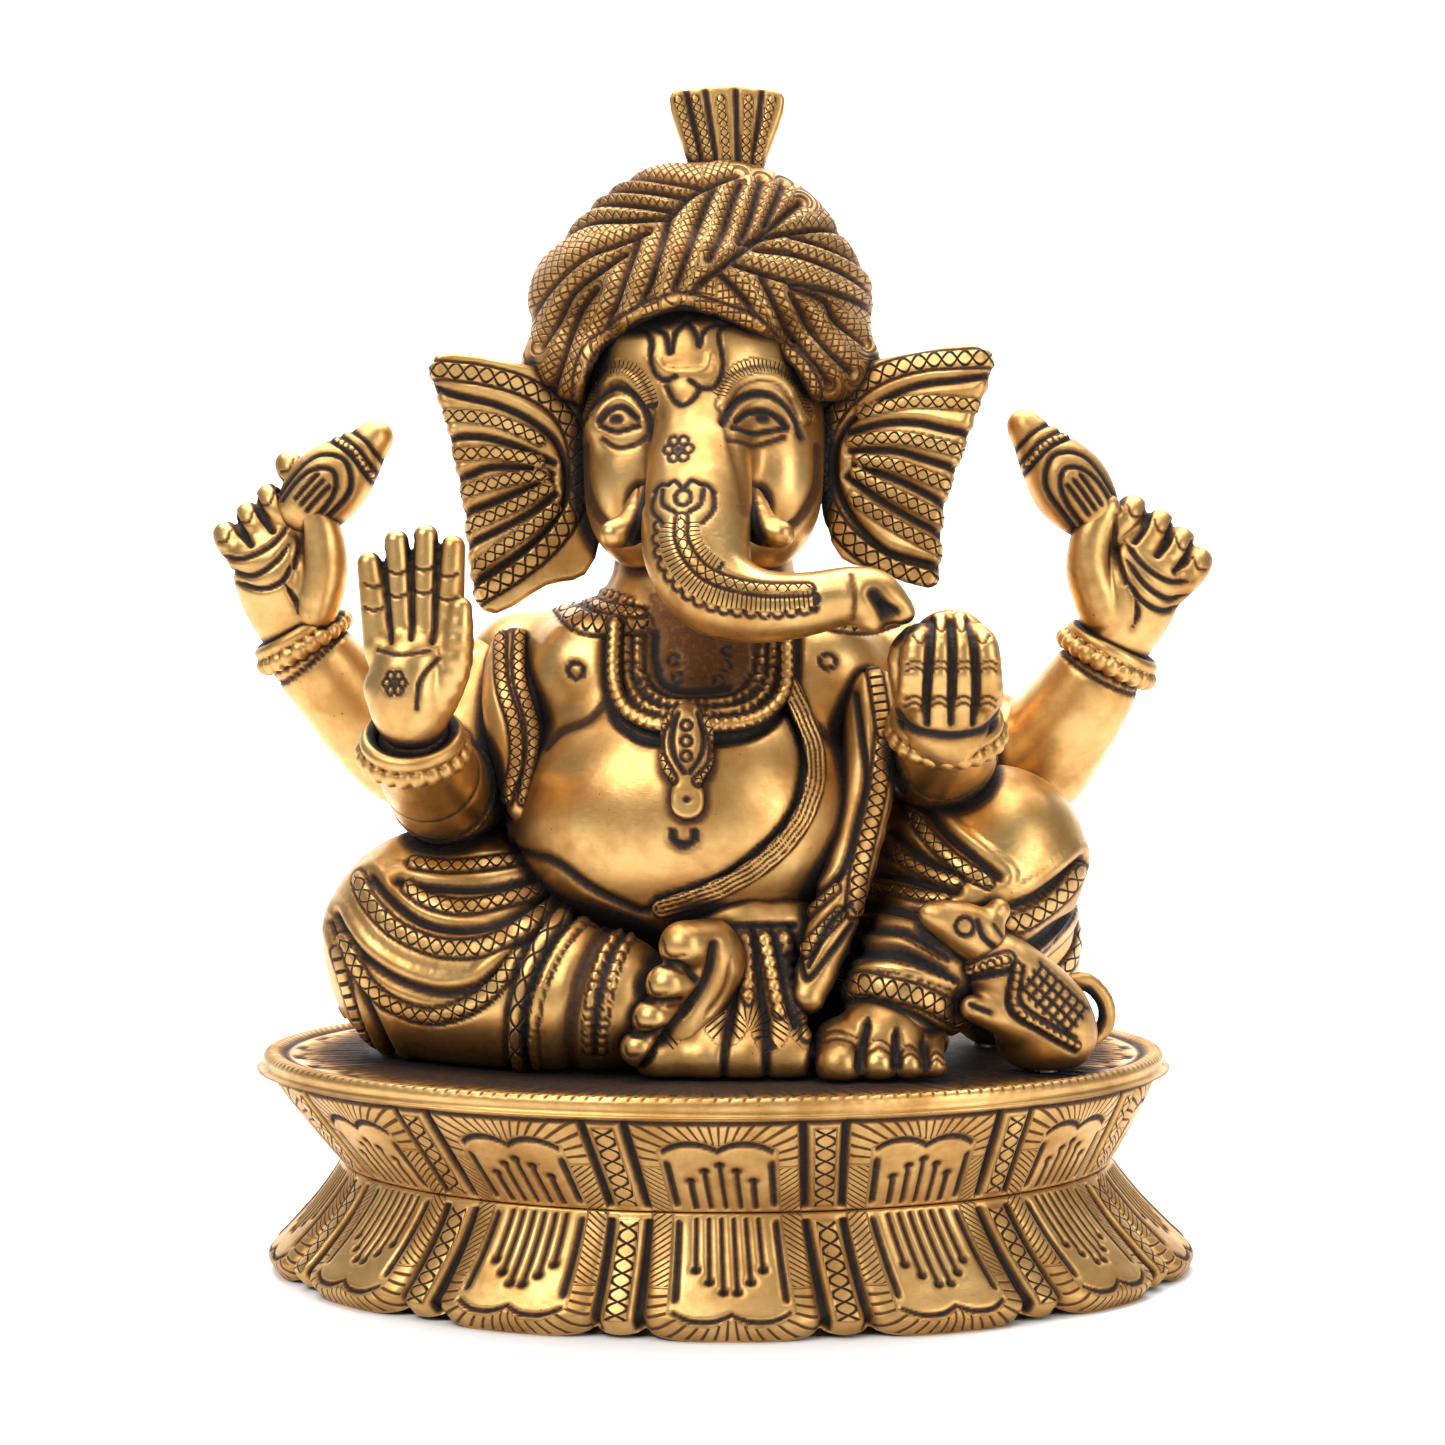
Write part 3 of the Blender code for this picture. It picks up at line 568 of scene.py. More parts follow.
def antique_brass(name, polish=1.0):
    """Brass toned at random between bright and warm, darkened as painted shade where other metal closes in,
    and nearly black with patina in the grooves.
    """
    t = Nodes(name)
    place = t.add("ShaderNodeTexCoord").outputs["Object"]
    dark = t.attribute("dark")
    free = t.attribute("open")
    uv = t.add("ShaderNodeSeparateXYZ", {0: t.attribute("pattern", "Vector")})
    u, v = uv.outputs[0], uv.outputs[1]

    # scales: a chain of pointed plates, each outlined by a cut
    phase = t.math("ABSOLUTE", t.math("SUBTRACT", t.math("MULTIPLY", t.math("FRACT", u), 2.0), 1.0))
    swell = t.math("SUBTRACT", 1.0, t.math("POWER", phase, 1.7))
    wide = t.math("ABSOLUTE", v)
    edge = t.math("ABSOLUTE", t.math("SUBTRACT", wide, t.math("MULTIPLY", swell, 0.80)))
    scales = t.math("MULTIPLY", t.ramp(edge, 0.24, 0.07), t.attribute("scales"))

    # hatch: short cuts side by side
    line = t.math("ABSOLUTE", t.math("SUBTRACT", t.math("FRACT", u), 0.5))
    hatch = t.math("MULTIPLY", t.ramp(line, 0.20, 0.07), t.attribute("hatch"))

    # weave: crossed cuts
    one = t.math("ABSOLUTE", t.math("SUBTRACT", t.math("FRACT", t.math("ADD", u, v)), 0.5))
    other = t.math("ABSOLUTE", t.math("SUBTRACT", t.math("FRACT", t.math("SUBTRACT", u, v)), 0.5))
    cross = t.math("MAXIMUM", t.ramp(one, 0.20, 0.07), t.ramp(other, 0.20, 0.07))
    weave = t.math("MULTIPLY", cross, t.attribute("weave"))

    cuts = t.math("MAXIMUM", scales, t.math("MAXIMUM", hatch, t.math("MULTIPLY", weave, 0.62)))

    # patina settles in the grooves, and painted shade darkens the colour where metal closes in, both broken
    # up by wear
    cloud = t.noise(90.0, 4.0, 0.6, place)
    grain = t.noise(900.0, 3.0, 0.6, place)
    # closed: painted shade where other metal closes in
    closed = t.ramp(free, 0.80, 0.22)
    dark_with_painted_shade = t.math("MAXIMUM", t.math("MAXIMUM", dark, t.math("MULTIPLY", cuts, 0.9)),
                  t.math("MULTIPLY", closed, 0.9))
    rag = t.math("MULTIPLY", t.math("SUBTRACT", grain, 0.5), 0.55)
    dark_with_painted_shade = t.math("ADD", dark_with_painted_shade, t.math("MULTIPLY", rag, t.math("ADD", dark_with_painted_shade, 0.12)), True)
    pits = t.add("ShaderNodeTexVoronoi", {"Vector": place, "Scale": 420.0, "Randomness": 1.0})
    pit = t.math("MULTIPLY", t.ramp(pits.outputs["Distance"], 0.10, 0.04), t.ramp(cloud, 0.52, 0.62))
    dark_with_painted_shade = t.math("MAXIMUM", dark_with_painted_shade, t.math("MULTIPLY", pit, 0.6))

    tone = t.mix(t.ramp(cloud, 0.40, 0.66), BRIGHT, WARM)
    # painted shade: the tone turns warm where other metal closes in
    tone = t.mix(t.math("MULTIPLY", t.ramp(free, 0.98, 0.6), 0.65), tone, WARM)
    colour = t.mix(t.ramp(dark_with_painted_shade, 0.06, 0.50), tone, BROWN)
    colour = t.mix(t.ramp(dark_with_painted_shade, 0.52, 0.90), colour, BLACK_PATINA_AND_SHADE)

    stretch = t.add("ShaderNodeMapping", {"Vector": place, "Scale": (1.0, 1.0, 9.0),
                                          "Rotation": (0.4, 0.5, 0.2)})
    scratch = t.noise(700.0, 2.0, 0.5, stretch.outputs[0])
    rough = t.math("ADD", 0.29 + 0.08 * (1 - polish), t.math("MULTIPLY", t.ramp(cloud, 0.35, 0.7), 0.12))
    rough = t.math("ADD", rough, t.math("MULTIPLY", t.ramp(scratch, 0.45, 0.7), 0.10))
    rough = t.math("ADD", rough, t.math("MULTIPLY", dark_with_painted_shade, 0.38), True)
    metallic = t.math("SUBTRACT", 1.0, t.math("MULTIPLY", t.ramp(dark_with_painted_shade, 0.35, 0.95), 0.75))

    dents = t.noise(260.0, 2.0, 0.5, place)
    relief = t.math("ADD", t.math("MULTIPLY", cuts, -1.0), t.math("MULTIPLY", dents, 0.16))
    relief = t.math("ADD", relief, t.math("MULTIPLY", scratch, 0.05))
    relief = t.math("ADD", relief, t.math("MULTIPLY", grain, 0.05))
    bump = t.add("ShaderNodeBump", {"Strength": 0.85, "Distance": 0.00042, "Height": relief})
    shader = t.add("ShaderNodeBsdfPrincipled", {
        "Base Color": colour, "Metallic": metallic, "Roughness": rough, "Normal": bump.outputs[0]})
    out = t.add("ShaderNodeOutputMaterial")
    t.tree.links.new(shader.outputs[0], out.inputs["Surface"])
    return t.material


POLISHED = antique_brass("brass_polished", 1.0)
CHASED = antique_brass("brass_chased", 0.5)

# ---------------------------------------------------------------- making pieces


def piece(name, work, quads, material, nodes):
    """A mesh object from a chased surface, standing in for CAD nodes."""
    points = work.p + work.n * work.height[:, None]
    mesh = bpy.data.meshes.new(name)
    mesh.vertices.add(len(points))
    mesh.vertices.foreach_set("co", (points * MM).ravel().astype(np.float32))
    mesh.loops.add(quads.size)
    mesh.loops.foreach_set("vertex_index", quads.ravel().astype(np.int32))
    mesh.polygons.add(len(quads))
    mesh.polygons.foreach_set("loop_start", np.arange(0, quads.size, 4, dtype=np.int32))
    mesh.update(calc_edges=True)
    mesh.shade_smooth()
    # open: how freely each point stands; the brass material paints shade where it is low
    free = openness(work.p, work.n)
    values = {"dark": np.clip(work.dark, 0, 1), "open": free, **work.kind}
    for key, value in values.items():
        mesh.attributes.new(key, "FLOAT", "POINT").data.foreach_set("value", value.astype(np.float32))
    pattern = np.zeros((len(points), 3), np.float32)
    pattern[:, :2] = work.uv
    mesh.attributes.new("pattern", "FLOAT_VECTOR", "POINT").data.foreach_set("vector", pattern.ravel())
    mesh.materials.append(material)
    made = bpy.data.objects.new(name, mesh)
    bpy.context.scene.collection.objects.link(made)
    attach(made, "root")
    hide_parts(*nodes)
    return made


def sculpt(name, chase=None, material=None, nodes=None):
    """Meshes a named shape and chases it."""
    field, low, high, step = SHAPES[name]
    points, quads = skin_of(field, low, high, step)
    points, normals = settle(field, points)
    work = Work(points, normals)
    if chase:
        chase(work)
    return piece(name + "_cast", work, quads, material or POLISHED, nodes or [name])


def grid_piece(name, points, chase, material):
    """A piece from a grid of points, rows by columns, whose columns close round."""
    rows, columns = points.shape[:2]
    ahead = np.roll(points, -1, axis=1) - np.roll(points, 1, axis=1)
    up = np.gradient(points, axis=0)
    normals = np.cross(ahead, up)
    normals /= np.maximum(np.linalg.norm(normals, axis=2), 1e-9)[:, :, None]
    work = Work(points.reshape(-1, 3), normals.reshape(-1, 3))
    chase(work)
    index = np.arange(rows * columns).reshape(rows, columns)
    beside = np.roll(index, -1, axis=1)
    quads = np.stack([index[:-1], beside[:-1], beside[1:], index[1:]], axis=-1).reshape(-1, 4)
    return piece(name, work, quads, material, [name.replace("_cast", "")])


# ---------------------------------------------------------------- shapes of the castings

RIGHT, LEFT = -1, 1

shape("torso", union(
    egg((-1, 4, 58), (38, 27, 20)),
    egg((-4, -9, 88), (36, 31, 29)),
    egg((-2, 4, 110), (38, 24, 22)),
    egg((-22, -8, 116), (15, 13, 13)),
    egg((19, -8, 116), (15, 13, 13)),
    tube([(-38, 5, 117, 12), (-2, 5, 118, 13), (34, 5, 117, 12)]),
    tube([(-2, 4, 120, 21), (-2, 2, 138, 18)]),
    egg((-41, 6, 88), (10, 12, 12)),
    soft=7.0), (-56, -44, 42.3), (52, 34, 146), 0.78)

shape("right_leg", above(union(
    tube([(-24, -2, 63, 19), (-42, -5, 64, 21), (-55, -7, 64, 21.5)], soft=3),
    tube([(-54, -12, 58, 18), (-36, -26, 56, 15), (-19, -34, 55, 12.5)], soft=3),
    soft=6.0), 42.2), (-80, -50, 40), (-2, 24, 90), 0.62)
shape("left_leg", above(union(
    tube([(24, 0, 62, 19), (42, -4, 74, 18.5), (55, -12, 81.5, 16.8)], soft=3),
    tube([(55, -14, 78, 15.5), (47, -22, 66, 14), (35, -33, 56, 11)], soft=3),
    egg((58, 2, 62), (15.5, 18, 21)),
    soft=6.0), 42.2), (4, -48, 40), (77, 24, 102), 0.62)

RIGHT_TOES = ((-5.2, -44, 66, 4.6), (-8.2, -45.5, 59, 4.0), (-11, -45.5, 53, 3.7), (-13.4, -45.5, 47.6, 3.4))
shape("right_foot", above(union(
    tube([(-1.5, -37, 62, 8), (-6, -39, 50, 6.5)], soft=2),
    egg((-9, -39, 46), (6, 5, 5)),
    egg((-3.4, -41, 61.5), (4.4, 4.2, 6.5)),
    *[tube([(x + 5, y + 5, z, r), (x, y, z, r)]) for x, y, z, r in RIGHT_TOES],
    soft=1.2), 42.2), (-20, -52, 41), (12, -28, 74), 0.45)
LEFT_TOES = ((23.5, 4.3), (30.5, 3.5), (36, 3.0), (40.5, 2.6))
shape("left_foot", above(union(
    tube([(33, -33, 49, 9), (31, -38, 48, 8.6)], soft=2),
    *[tube([(x, -38, 47.5, r + 0.6), (x - 0.6, -46, 44.6, r)]) for x, r in LEFT_TOES],
    soft=1.4), 42.2), (16, -54, 41), (46, -23, 60), 0.45)
shape("dhoti_pleats", above(union(
    egg((6, -27, 66), (16, 9, 10)),
    *[tube([(4 + 0.2 * x, -31, 70, 4.5), (0.8 * x + 1, -37, 55, 4.4), (x, -42.5, 45.5, 4.6)])
      for x in (-9, -1.5, 6, 13)],
    tube([(-10, -42, 45.4, 4.0), (2, -43.2, 45.6, 4.6), (15, -42.6, 45.6, 4.4)]),
    soft=1.6), 42.2), (-16, -50, 41), (24, -16, 78), 0.45)

shape("head", union(
    egg((-2, -2, 164), (24.5, 24, 26)),
    egg((-3, -8.5, 174), (21, 19.5, 17)),
    egg((-15, -11, 154), (10.5, 13.5, 17)),
    egg((11, -11, 154), (10.5, 13.5, 17)),
    egg((-2.4, -14, 157), (15, 14.5, 15)),
    egg((-2, -7, 146), (18, 16, 12)),
    egg((-18, -18.6, 163.5), (6.4, 4.6, 5.2)),
    egg((9.4, -19.6, 163.5), (7, 4.6, 5.2)),
    tube([(-2, -20, 170, 7.2), (-2.3, -26, 159, 8.8), (-2.8, -33.5, 148, 9.6), (-3, -39.5, 138.5, 9.3),
          (0, -43.5, 131, 7.8), (7.2, -45.5, 127.8, 6.3), (16, -47, 127.8, 5.3), (24, -48, 129.4, 4.6),
          (29, -49, 129.2, 4.3), (32.4, -49.6, 127.6, 2.4), (34.6, -50, 126, 1.3)], soft=1.5, per_span=4),
    tube([(28, -48.6, 128, 3.2), (28.6, -49.6, 124.4, 1.6)]),
    soft=3.4), (-31, -56, 118), (37, 25, 192), 0.5)
for side, name in ((RIGHT, "right_tusk"), (LEFT, "left_tusk")):
    root = -3 + 9.5 * side
    shape(name, tube([(root, -27, 148, 3.4), (root + 2.5 * side, -33, 143, 3.2),
                      (root + 6 * side, -36, 141.4, 2.6)]),
          (min(root, root + 6 * side) - 5, -41, 136), (max(root, root + 6 * side) + 5, -22, 153), 0.45)

RIGHT_EAR = [(-20, 170), (-27, 174.5), (-38, 176.5), (-56, 177.5), (-53.5, 164), (-50.5, 150), (-46.5, 128.5),
             (-34, 133.5), (-24, 139)]
LEFT_EAR = [(20, 172), (27, 176), (38, 178.5), (55.5, 178.8), (52, 164), (46.5, 148), (44.5, 133.5),
            (34, 136.5), (24, 142)]
shape("right_ear", plate(RIGHT_EAR, 4.0, hinge=-20, swing=20, at_y=-3, bow=1.4),
      (-60, -24, 125), (-14, 6, 181), 0.45)
shape("left_ear", plate(LEFT_EAR, 4.0, hinge=20, swing=-20, at_y=-3, bow=1.4),
      (14, -24, 130), (60, 6, 182), 0.45)

BRIM = [(-22, -15, 176, 6.5), (-29, -3, 178, 8), (-26, 13, 176, 11), (-15, 24, 175, 12), (-3, 27, 174, 12),
        (10, 24, 175, 12), (21, 13, 176, 11), (24, -3, 178, 8), (17, -15, 176, 6.5)]
FACE_OPENING = [(-25.8, 160), (-25, 170), (-23, 175.6), (-19.6, 179.6), (-15.8, 181.8), (-10.1, 184.1),
                (-5.3, 185),
                (1.6, 183.4), (8.1, 180.6), (13.8, 176.6), (17.2, 172.4), (18.8, 168), (19, 160)]
shape("turban", minus(union(
    egg((-2.5, 4, 191), (34.5, 31, 20)),
    egg((-1.5, 3, 200), (27, 25, 18.5)),
    tube(BRIM, soft=1.5),
    tube([(-13, -22, 187.5, 6.5), (-2.5, -24.5, 192, 6.5), (8, -22, 187.5, 6.5)], soft=1.5),
    soft=4.0), front_outline(FACE_OPENING, -4), 1.0), (-42, -38, 160), (37, 42, 221), 0.55)
shape("turban_plume", plate([(10, 217), (9, 211), (-4, 211), (-4.8, 217), (-8.8, 230.4), (-3.5, 232.3),
                             (2.5, 232.9), (8.5, 232.4), (14.2, 230.2)], 6.0, at_y=-2), (-12, -7, 208),
      (18, 3, 235), 0.42)

ARMS = {
    "front_right": [(-44, 3, 112, 12), (-48, -2, 103, 11.5), (-51, -10, 93.5, 10.5), (-53, -26, 96, 9),
                    (-54.3, -40, 101.5, 7.4)],
    "front_left": [(40, 3, 112, 12), (43, 0, 104, 11.5), (44.5, -8, 98, 10.5), (44, -24, 101, 9.2),
                   (43.5, -36, 105.5, 8.2)],
    "back_right": [(-38, 14, 114, 11), (-49, 17, 106, 11.5), (-60, 13, 99.5, 10.8), (-69, 8, 106, 9.6),
                   (-77, 4, 115.5, 8.4), (-82, 2, 121.5, 7.6)],
    "back_left": [(34, 14, 114, 11), (50, 17, 105, 11.5), (64, 13, 98, 11), (71, 8, 106, 9.8),
                  (75.5, 5, 113, 8.6), (78.5, 3, 118.5, 7.6)],
}
for name, path in ARMS.items():
    spots = np.array(path)
    reach = spots[:, 3].max() + 1.5
    shape(f"{name}_arm", tube(path, soft=2), spots[:, :3].min(axis=0) - reach,
          spots[:, :3].max(axis=0) + reach, 0.8)

shape("front_right_hand", union(
    tube([(-54.3, -45.4, 107.6, 6.2), (-55, -46, 112, 6.6), (-54, -46.5, 118, 6.0)], soft=2),
    tube([(-59, -46.5, 113, 4.0), (-50, -46.5, 113, 4.0)]),
    tube([(-59, -46.5, 119, 3.6), (-49.5, -46.5, 119.5, 3.6)]),
    *[tube([(*root, 3.3), (*tip, 2.2)]) for root, tip in (
        ((-59.8, -46.5, 121), (-61.9, -47, 135.2)),
        ((-56, -46.5, 122.6), (-57, -47, 139.2)),
        ((-51.8, -46.5, 122.6), (-51.7, -47, 140.2)),
        ((-48.2, -46.5, 121.4), (-46.8, -47, 138.2)))],
    tube([(-50, -46, 111, 4.2), (-46.3, -48, 118, 3.1), (-45.2, -49, 127, 2.1)]),
    soft=1.1), (-68, -54, 98), (-40, -38, 144), 0.42)
shape("front_left_hand", union(
    tube([(42.5, -43, 104, 6.5), (42.5, -43, 108, 7.5), (42.5, -43, 112, 8)], soft=2),
    *[tube([(x, -46, 109, 3.2), (x, -51, 113, 2.8), (x + bend * 0.4, -51.5, 119.5, 2.6),
            (x + bend, -48, top, 2.3)])
      for x, bend, top in ((36, 1.2, 122.2), (40.4, 0.4, 124.2), (44.8, -0.4, 124.2), (49, -1.2, 122.2))],
    tube([(37, -42, 110, 3.6), (34.6, -44, 118, 2.8), (36.2, -45, 122, 2.2)]),
    soft=1.0), (28, -56, 96), (54, -34, 128), 0.42)
shape("back_right_hand", union(
    tube([(-84, 1, 127, 7.5), (-86.5, 0, 136, 8.6), (-86, 0, 141, 7.5)], soft=2),
    *[tube([(x + 6, y, z - 6, 3.2), (x + 2, y - 0.6, z - 2.4, 2.9), (x, y + 1, z, 2.7)]) for x, y, z in (
        (-97, -3, 144), (-92.4, -3.5, 147.8), (-88.3, -3.5, 151.4), (-84.6, -3, 158))],
    tube([(-79, -4, 129, 4.6), (-77, -5, 137, 4.4), (-77.6, -6, 145, 3.6), (-81, -6.5, 150.4, 2.8)], soft=1),
    egg((-90, -4.4, 139), (6, 4.6, 5)),
    soft=1.0), (-102, -14, 118), (-71, 11, 163), 0.42)
shape("back_left_hand", union(
    tube([(80.5, 1, 124, 7.5), (84, 0, 133, 8.6), (84, 0, 138, 7.5)], soft=2),
    *[tube([(x - 6, y, z - 6, 3.3), (x - 2, y - 0.8, z - 2.4, 3.0), (x, y + 1, z, 3.0)]) for x, y, z in (
        (83.4, -3, 149), (88.6, -3.5, 146), (92.8, -3.5, 142.6), (96.4, -3, 138.6))],
    tube([(77, -4, 129, 4.6), (74.2, -5, 137, 4.2), (74.8, -6, 144, 3.5), (77.6, -6.5, 149, 2.7)], soft=1),
    egg((87.4, -4.4, 136), (6, 4.6, 5)),
    soft=1.0), (67, -14, 115), (101, 11, 154), 0.42)

BANGLES = {
    "front_right": ((-54.6, -42.3, 102.6), (0, -0.6, 0.8), 8.4),
    "front_left": ((43, -38.5, 106), (0, -0.55, 0.83), 9.2),
    "back_right": ((-82.6, 2, 123.6), (-0.5, -0.2, 0.84), 8.6),
    "back_left": ((79.4, 2.5, 120.4), (0.45, -0.2, 0.87), 8.8),
}
for name, (centre, axis, radius) in BANGLES.items():
    centre = np.array(centre)
    axis = np.array(axis) / np.linalg.norm(axis)
    shape(f"{name}_bangle", union(
        hoop(centre + axis * 1.5, axis, radius - 0.3, 1.5),
        hoop(centre - axis * 1.1, axis, radius + 0.3, 2.0, 22),
        soft=0.3), centre - radius - 4, centre + radius + 4, 0.42)
EMBLEMS = {
    "back_right": ((-81, -4, 149), (-67.5, -4, 162.5)),
    "back_left": ((75, -4, 148), (62.2, -4, 164.5)),
}
for name, (foot, tip) in EMBLEMS.items():
    foot, tip = np.array(foot, float), np.array(tip, float)
    path = [(*(foot + (tip - foot) * t), r) for t, r in ((0, 5.4), (0.34, 7.2), (0.72, 5.0), (0.9, 3.3),
                                                         (0.97, 2.7), (1.08, 2.6))]
    shape(f"{name}_emblem", tube(path, soft=1.5, per_span=4), np.minimum(foot, tip) - 9,
          np.maximum(foot, tip) + 9,
          0.42)
shape("sweet", egg((43.2, -44.5, 120.5), (7.4, 5.5, 6.6)), (34, -52, 112), (53, -37, 129), 0.45)

TORSO = SHAPES["torso"][0]
NECKLACE = [(-18.8, 126), (-18.8, 115), (-16.8, 109.6), (-12.4, 106.9), (-8.3, 106.2), (0.6, 106.2),
            (6.7, 107),
            (11, 109.4), (13.8, 114), (14, 126)]
THREAD = [(14.4, 113.5), (17, 108), (18.9, 103), (19.4, 97), (17.6, 90.6), (14, 85), (8.5, 80), (2, 76.2),
          (-4.5, 73.6), (-9.5, 72)]
shape("necklace", relief(TORSO, 2.2, 1.45, NECKLACE), (-22, -48, 100), (18, 0, 128), 0.42)
shape("sacred_thread", relief(TORSO, 1.5, 2.1, THREAD), (-13, -48, 68), (23, 0, 117), 0.42)
shape("pendant", union(
    relief(TORSO, 3.4, 4.6, [(-4.8, 104.6), (-4.8, 100.6)]),
    relief(TORSO, 3.2, 2.4, [(-4.8, 108), (-4.8, 96)]),
    relief(TORSO, 3.2, 3.0, [(-4.6, 93.2), (-4.6, 92)]),
    soft=1.2), (-13, -48, 86), (4, -20, 112), 0.42)
shape("shawl_right", tube([(-39, -5, 120, 5.5), (-39, -12.5, 110, 5.5), (-37, -17, 100, 5),
                           (-35.5, -18.5, 91, 4.2)], soft=2), (-47, -26, 84), (-28, 4, 128), 0.45)
shape("shawl_left", tube([(31, -18, 112, 5), (30, -22, 100, 5), (27.5, -26, 86, 4.6), (22.5, -32.5, 70, 4.2),
                          (17.5, -38, 56, 3.2)], soft=2), (12, -44, 50), (38, -10, 119), 0.45)

shape("mouse_body", above(union(
    tube([(62.5, -34, 51.5, 8), (57, -36, 57, 7.2), (51.5, -37.5, 62.5, 5.8)], soft=2),
    egg((62, -33, 48.5), (9.5, 8.5, 7.5)),
    tube([(55, -39, 52, 4), (47.5, -42, 54.5, 2.4)]),
    soft=2.0), 42.2), (42, -48, 41), (74, -22, 71), 0.42)
shape("mouse_head", union(
    tube([(48.5, -39, 67.6, 5.2), (43, -41, 70.4, 3.2), (39.4, -42, 71.8, 1.7)], soft=1.5),
    tube([(51, -38.5, 70, 2.6), (52.6, -38, 72, 2.2)]),
    soft=1.0), (35, -46, 60), (57, -32, 77), 0.4)
shape("mouse_tail", tube([(66, -31, 57.4, 1.8), (70, -30, 58, 1.6), (73.4, -30, 54.5, 1.5),
                          (73.6, -30, 50, 1.5), (70, -31, 46.6, 1.4)]), (62, -35, 43), (77, -26, 61), 0.42)

# ---------------------------------------------------------------- chasing, casting by casting


def ring(centre, radius, count=12):
    """A closed loop of X-Z points."""
    x, z = centre
    turns = [math.tau * i / count for i in range(count + 1)]
    return [(x + radius * math.cos(a), z + radius * math.sin(a)) for a in turns]


def chase_torso(w):
    w.groove([(-20.5, 110.5), (-24, 107), (-29, 105), (-32, 102)], 0.9, 0.5, 0.75)
    w.groove([(15.5, 111.5), (19.5, 106.5), (23.5, 103), (27.5, 101)], 0.9, 0.5, 0.75)
    for x, z in ((-26.3, 116.6), (22, 118.3)):
        w.groove(ring((x, z), 1.5), 0.42, 0.35, 1.0)
    w.groove([(-45, 84), (-36.5, 81.8), (-29.6, 80.3), (-22.4, 75.4), (-13.4, 71.2)], 0.8, 0.8, 1.0)
    w.groove([(-13, 71.2), (-6.3, 73.2), (-0.3, 75.6), (6.6, 81.4), (11.5, 85.6), (15.3, 91), (17, 97.9),
              (16.8, 103), (15, 109.5)], 0.75, 0.8, 1.0)
    w.groove([(-7.4, 86.6), (-7.2, 85), (-5.4, 84), (-3.5, 85), (-3.3, 86.6)], 0.75, 1.0, 1.0)
    w.darken_patch((-9, 83.5), (-2, 88), 0.22)
    w.groove([(-20.3, 124), (-20.3, 115), (-18.8, 108), (-15.4, 104.8), (-11, 103.2), (2, 103.4), (8.7, 105),
              (13, 108.5), (15.6, 114), (15.8, 124)], 1.0, 0.9, 1.0)
    for shift in (0, 2.2, 4.4):
        turn = 1 - shift / 16
        w.beads([((x + 2.5) * turn - 2.5, z + shift * 0.85) for x, z in (
            (-18.6, 125), (-18.6, 115), (-16.6, 109.8), (-12.4, 107.3), (-8.3, 106.7), (0.6, 106.7),
            (6.7, 107.4),
            (10.8, 109.6), (13.4, 114), (13.6, 125))], 1.05 - shift * 0.06, 1.75)
        w.groove([((x + 2.5) * turn - 2.5, z + shift * 0.85) for x, z in (
            (-17.4, 125), (-17.4, 115), (-15.6, 110.8), (-12, 108.5), (-8.3, 107.9), (0.6, 107.9),
            (6.3, 108.6),
            (9.7, 110.6), (12.2, 114.5), (12.4, 125))], 0.45, 0.4, 1.0)
    # painted shade on the chest under the trunk and chin
    w.darken_patch((-13.6, 112), (8.4, 133), 0.5)
    for x, z in ((-7.5, 118.7), (2.7, 120.4), (2.3, 117.6), (1.1, 114.8), (-6.7, 115.4)):
        w.groove(ring((x, z), 1.0, 8), 0.35, 0.4, 0.95)
    w.groove([(-11, 124), (-10.6, 117), (-8.4, 113.6), (-3, 112.8), (3, 113.4)], 1.0, 0.6, 1.0)
    w.band([(-31, 132), (-27.2, 127.4), (-22.7, 125.6), (-14, 126)], 2.2, "scales", 2.1, 0.5)
    w.band([(-26.8, 132.2), (-20.9, 129), (-14, 127.9)], 1.2, "scales", 1.8, 0.4)
    w.beads([(-24.8, 134.5), (-21, 132.3), (-16, 130.3)], 0.7, 1.5)
    w.band([(17, 130.5), (22, 127), (29, 126), (36, 128)], 2.0, "scales", 2.1, 0.5)
    # painted shade on the hips behind the legs
    w.darken_patch((-45, 42), (-13, 72), 0.35)
    w.darken_patch((18, 42), (50, 76), 0.55)
    cloth_back(w)


def cloth_back(w):
    """The scarf across the back and the dhoti's waist behind."""
    w.band([(-48, 88), (-30, 84), (0, 82), (30, 84), (48, 88)], 2.6, "scales", 3.0, 0.6, face="back")
    w.groove([(-48, 92), (-30, 88), (0, 86), (30, 88), (48, 92)], 0.7, 0.5, 0.9, face="back")
    w.groove([(0, 136), (0, 120), (0, 100), (0, 90)], 1.3, 0.5, 0.15, face="back", taper=8)
    for i in range(-3, 4):
        w.groove([(i * 11, 80), (i * 9.5, 66), (i * 8, 46)], 0.8, 0.6, 0.9, face="back")


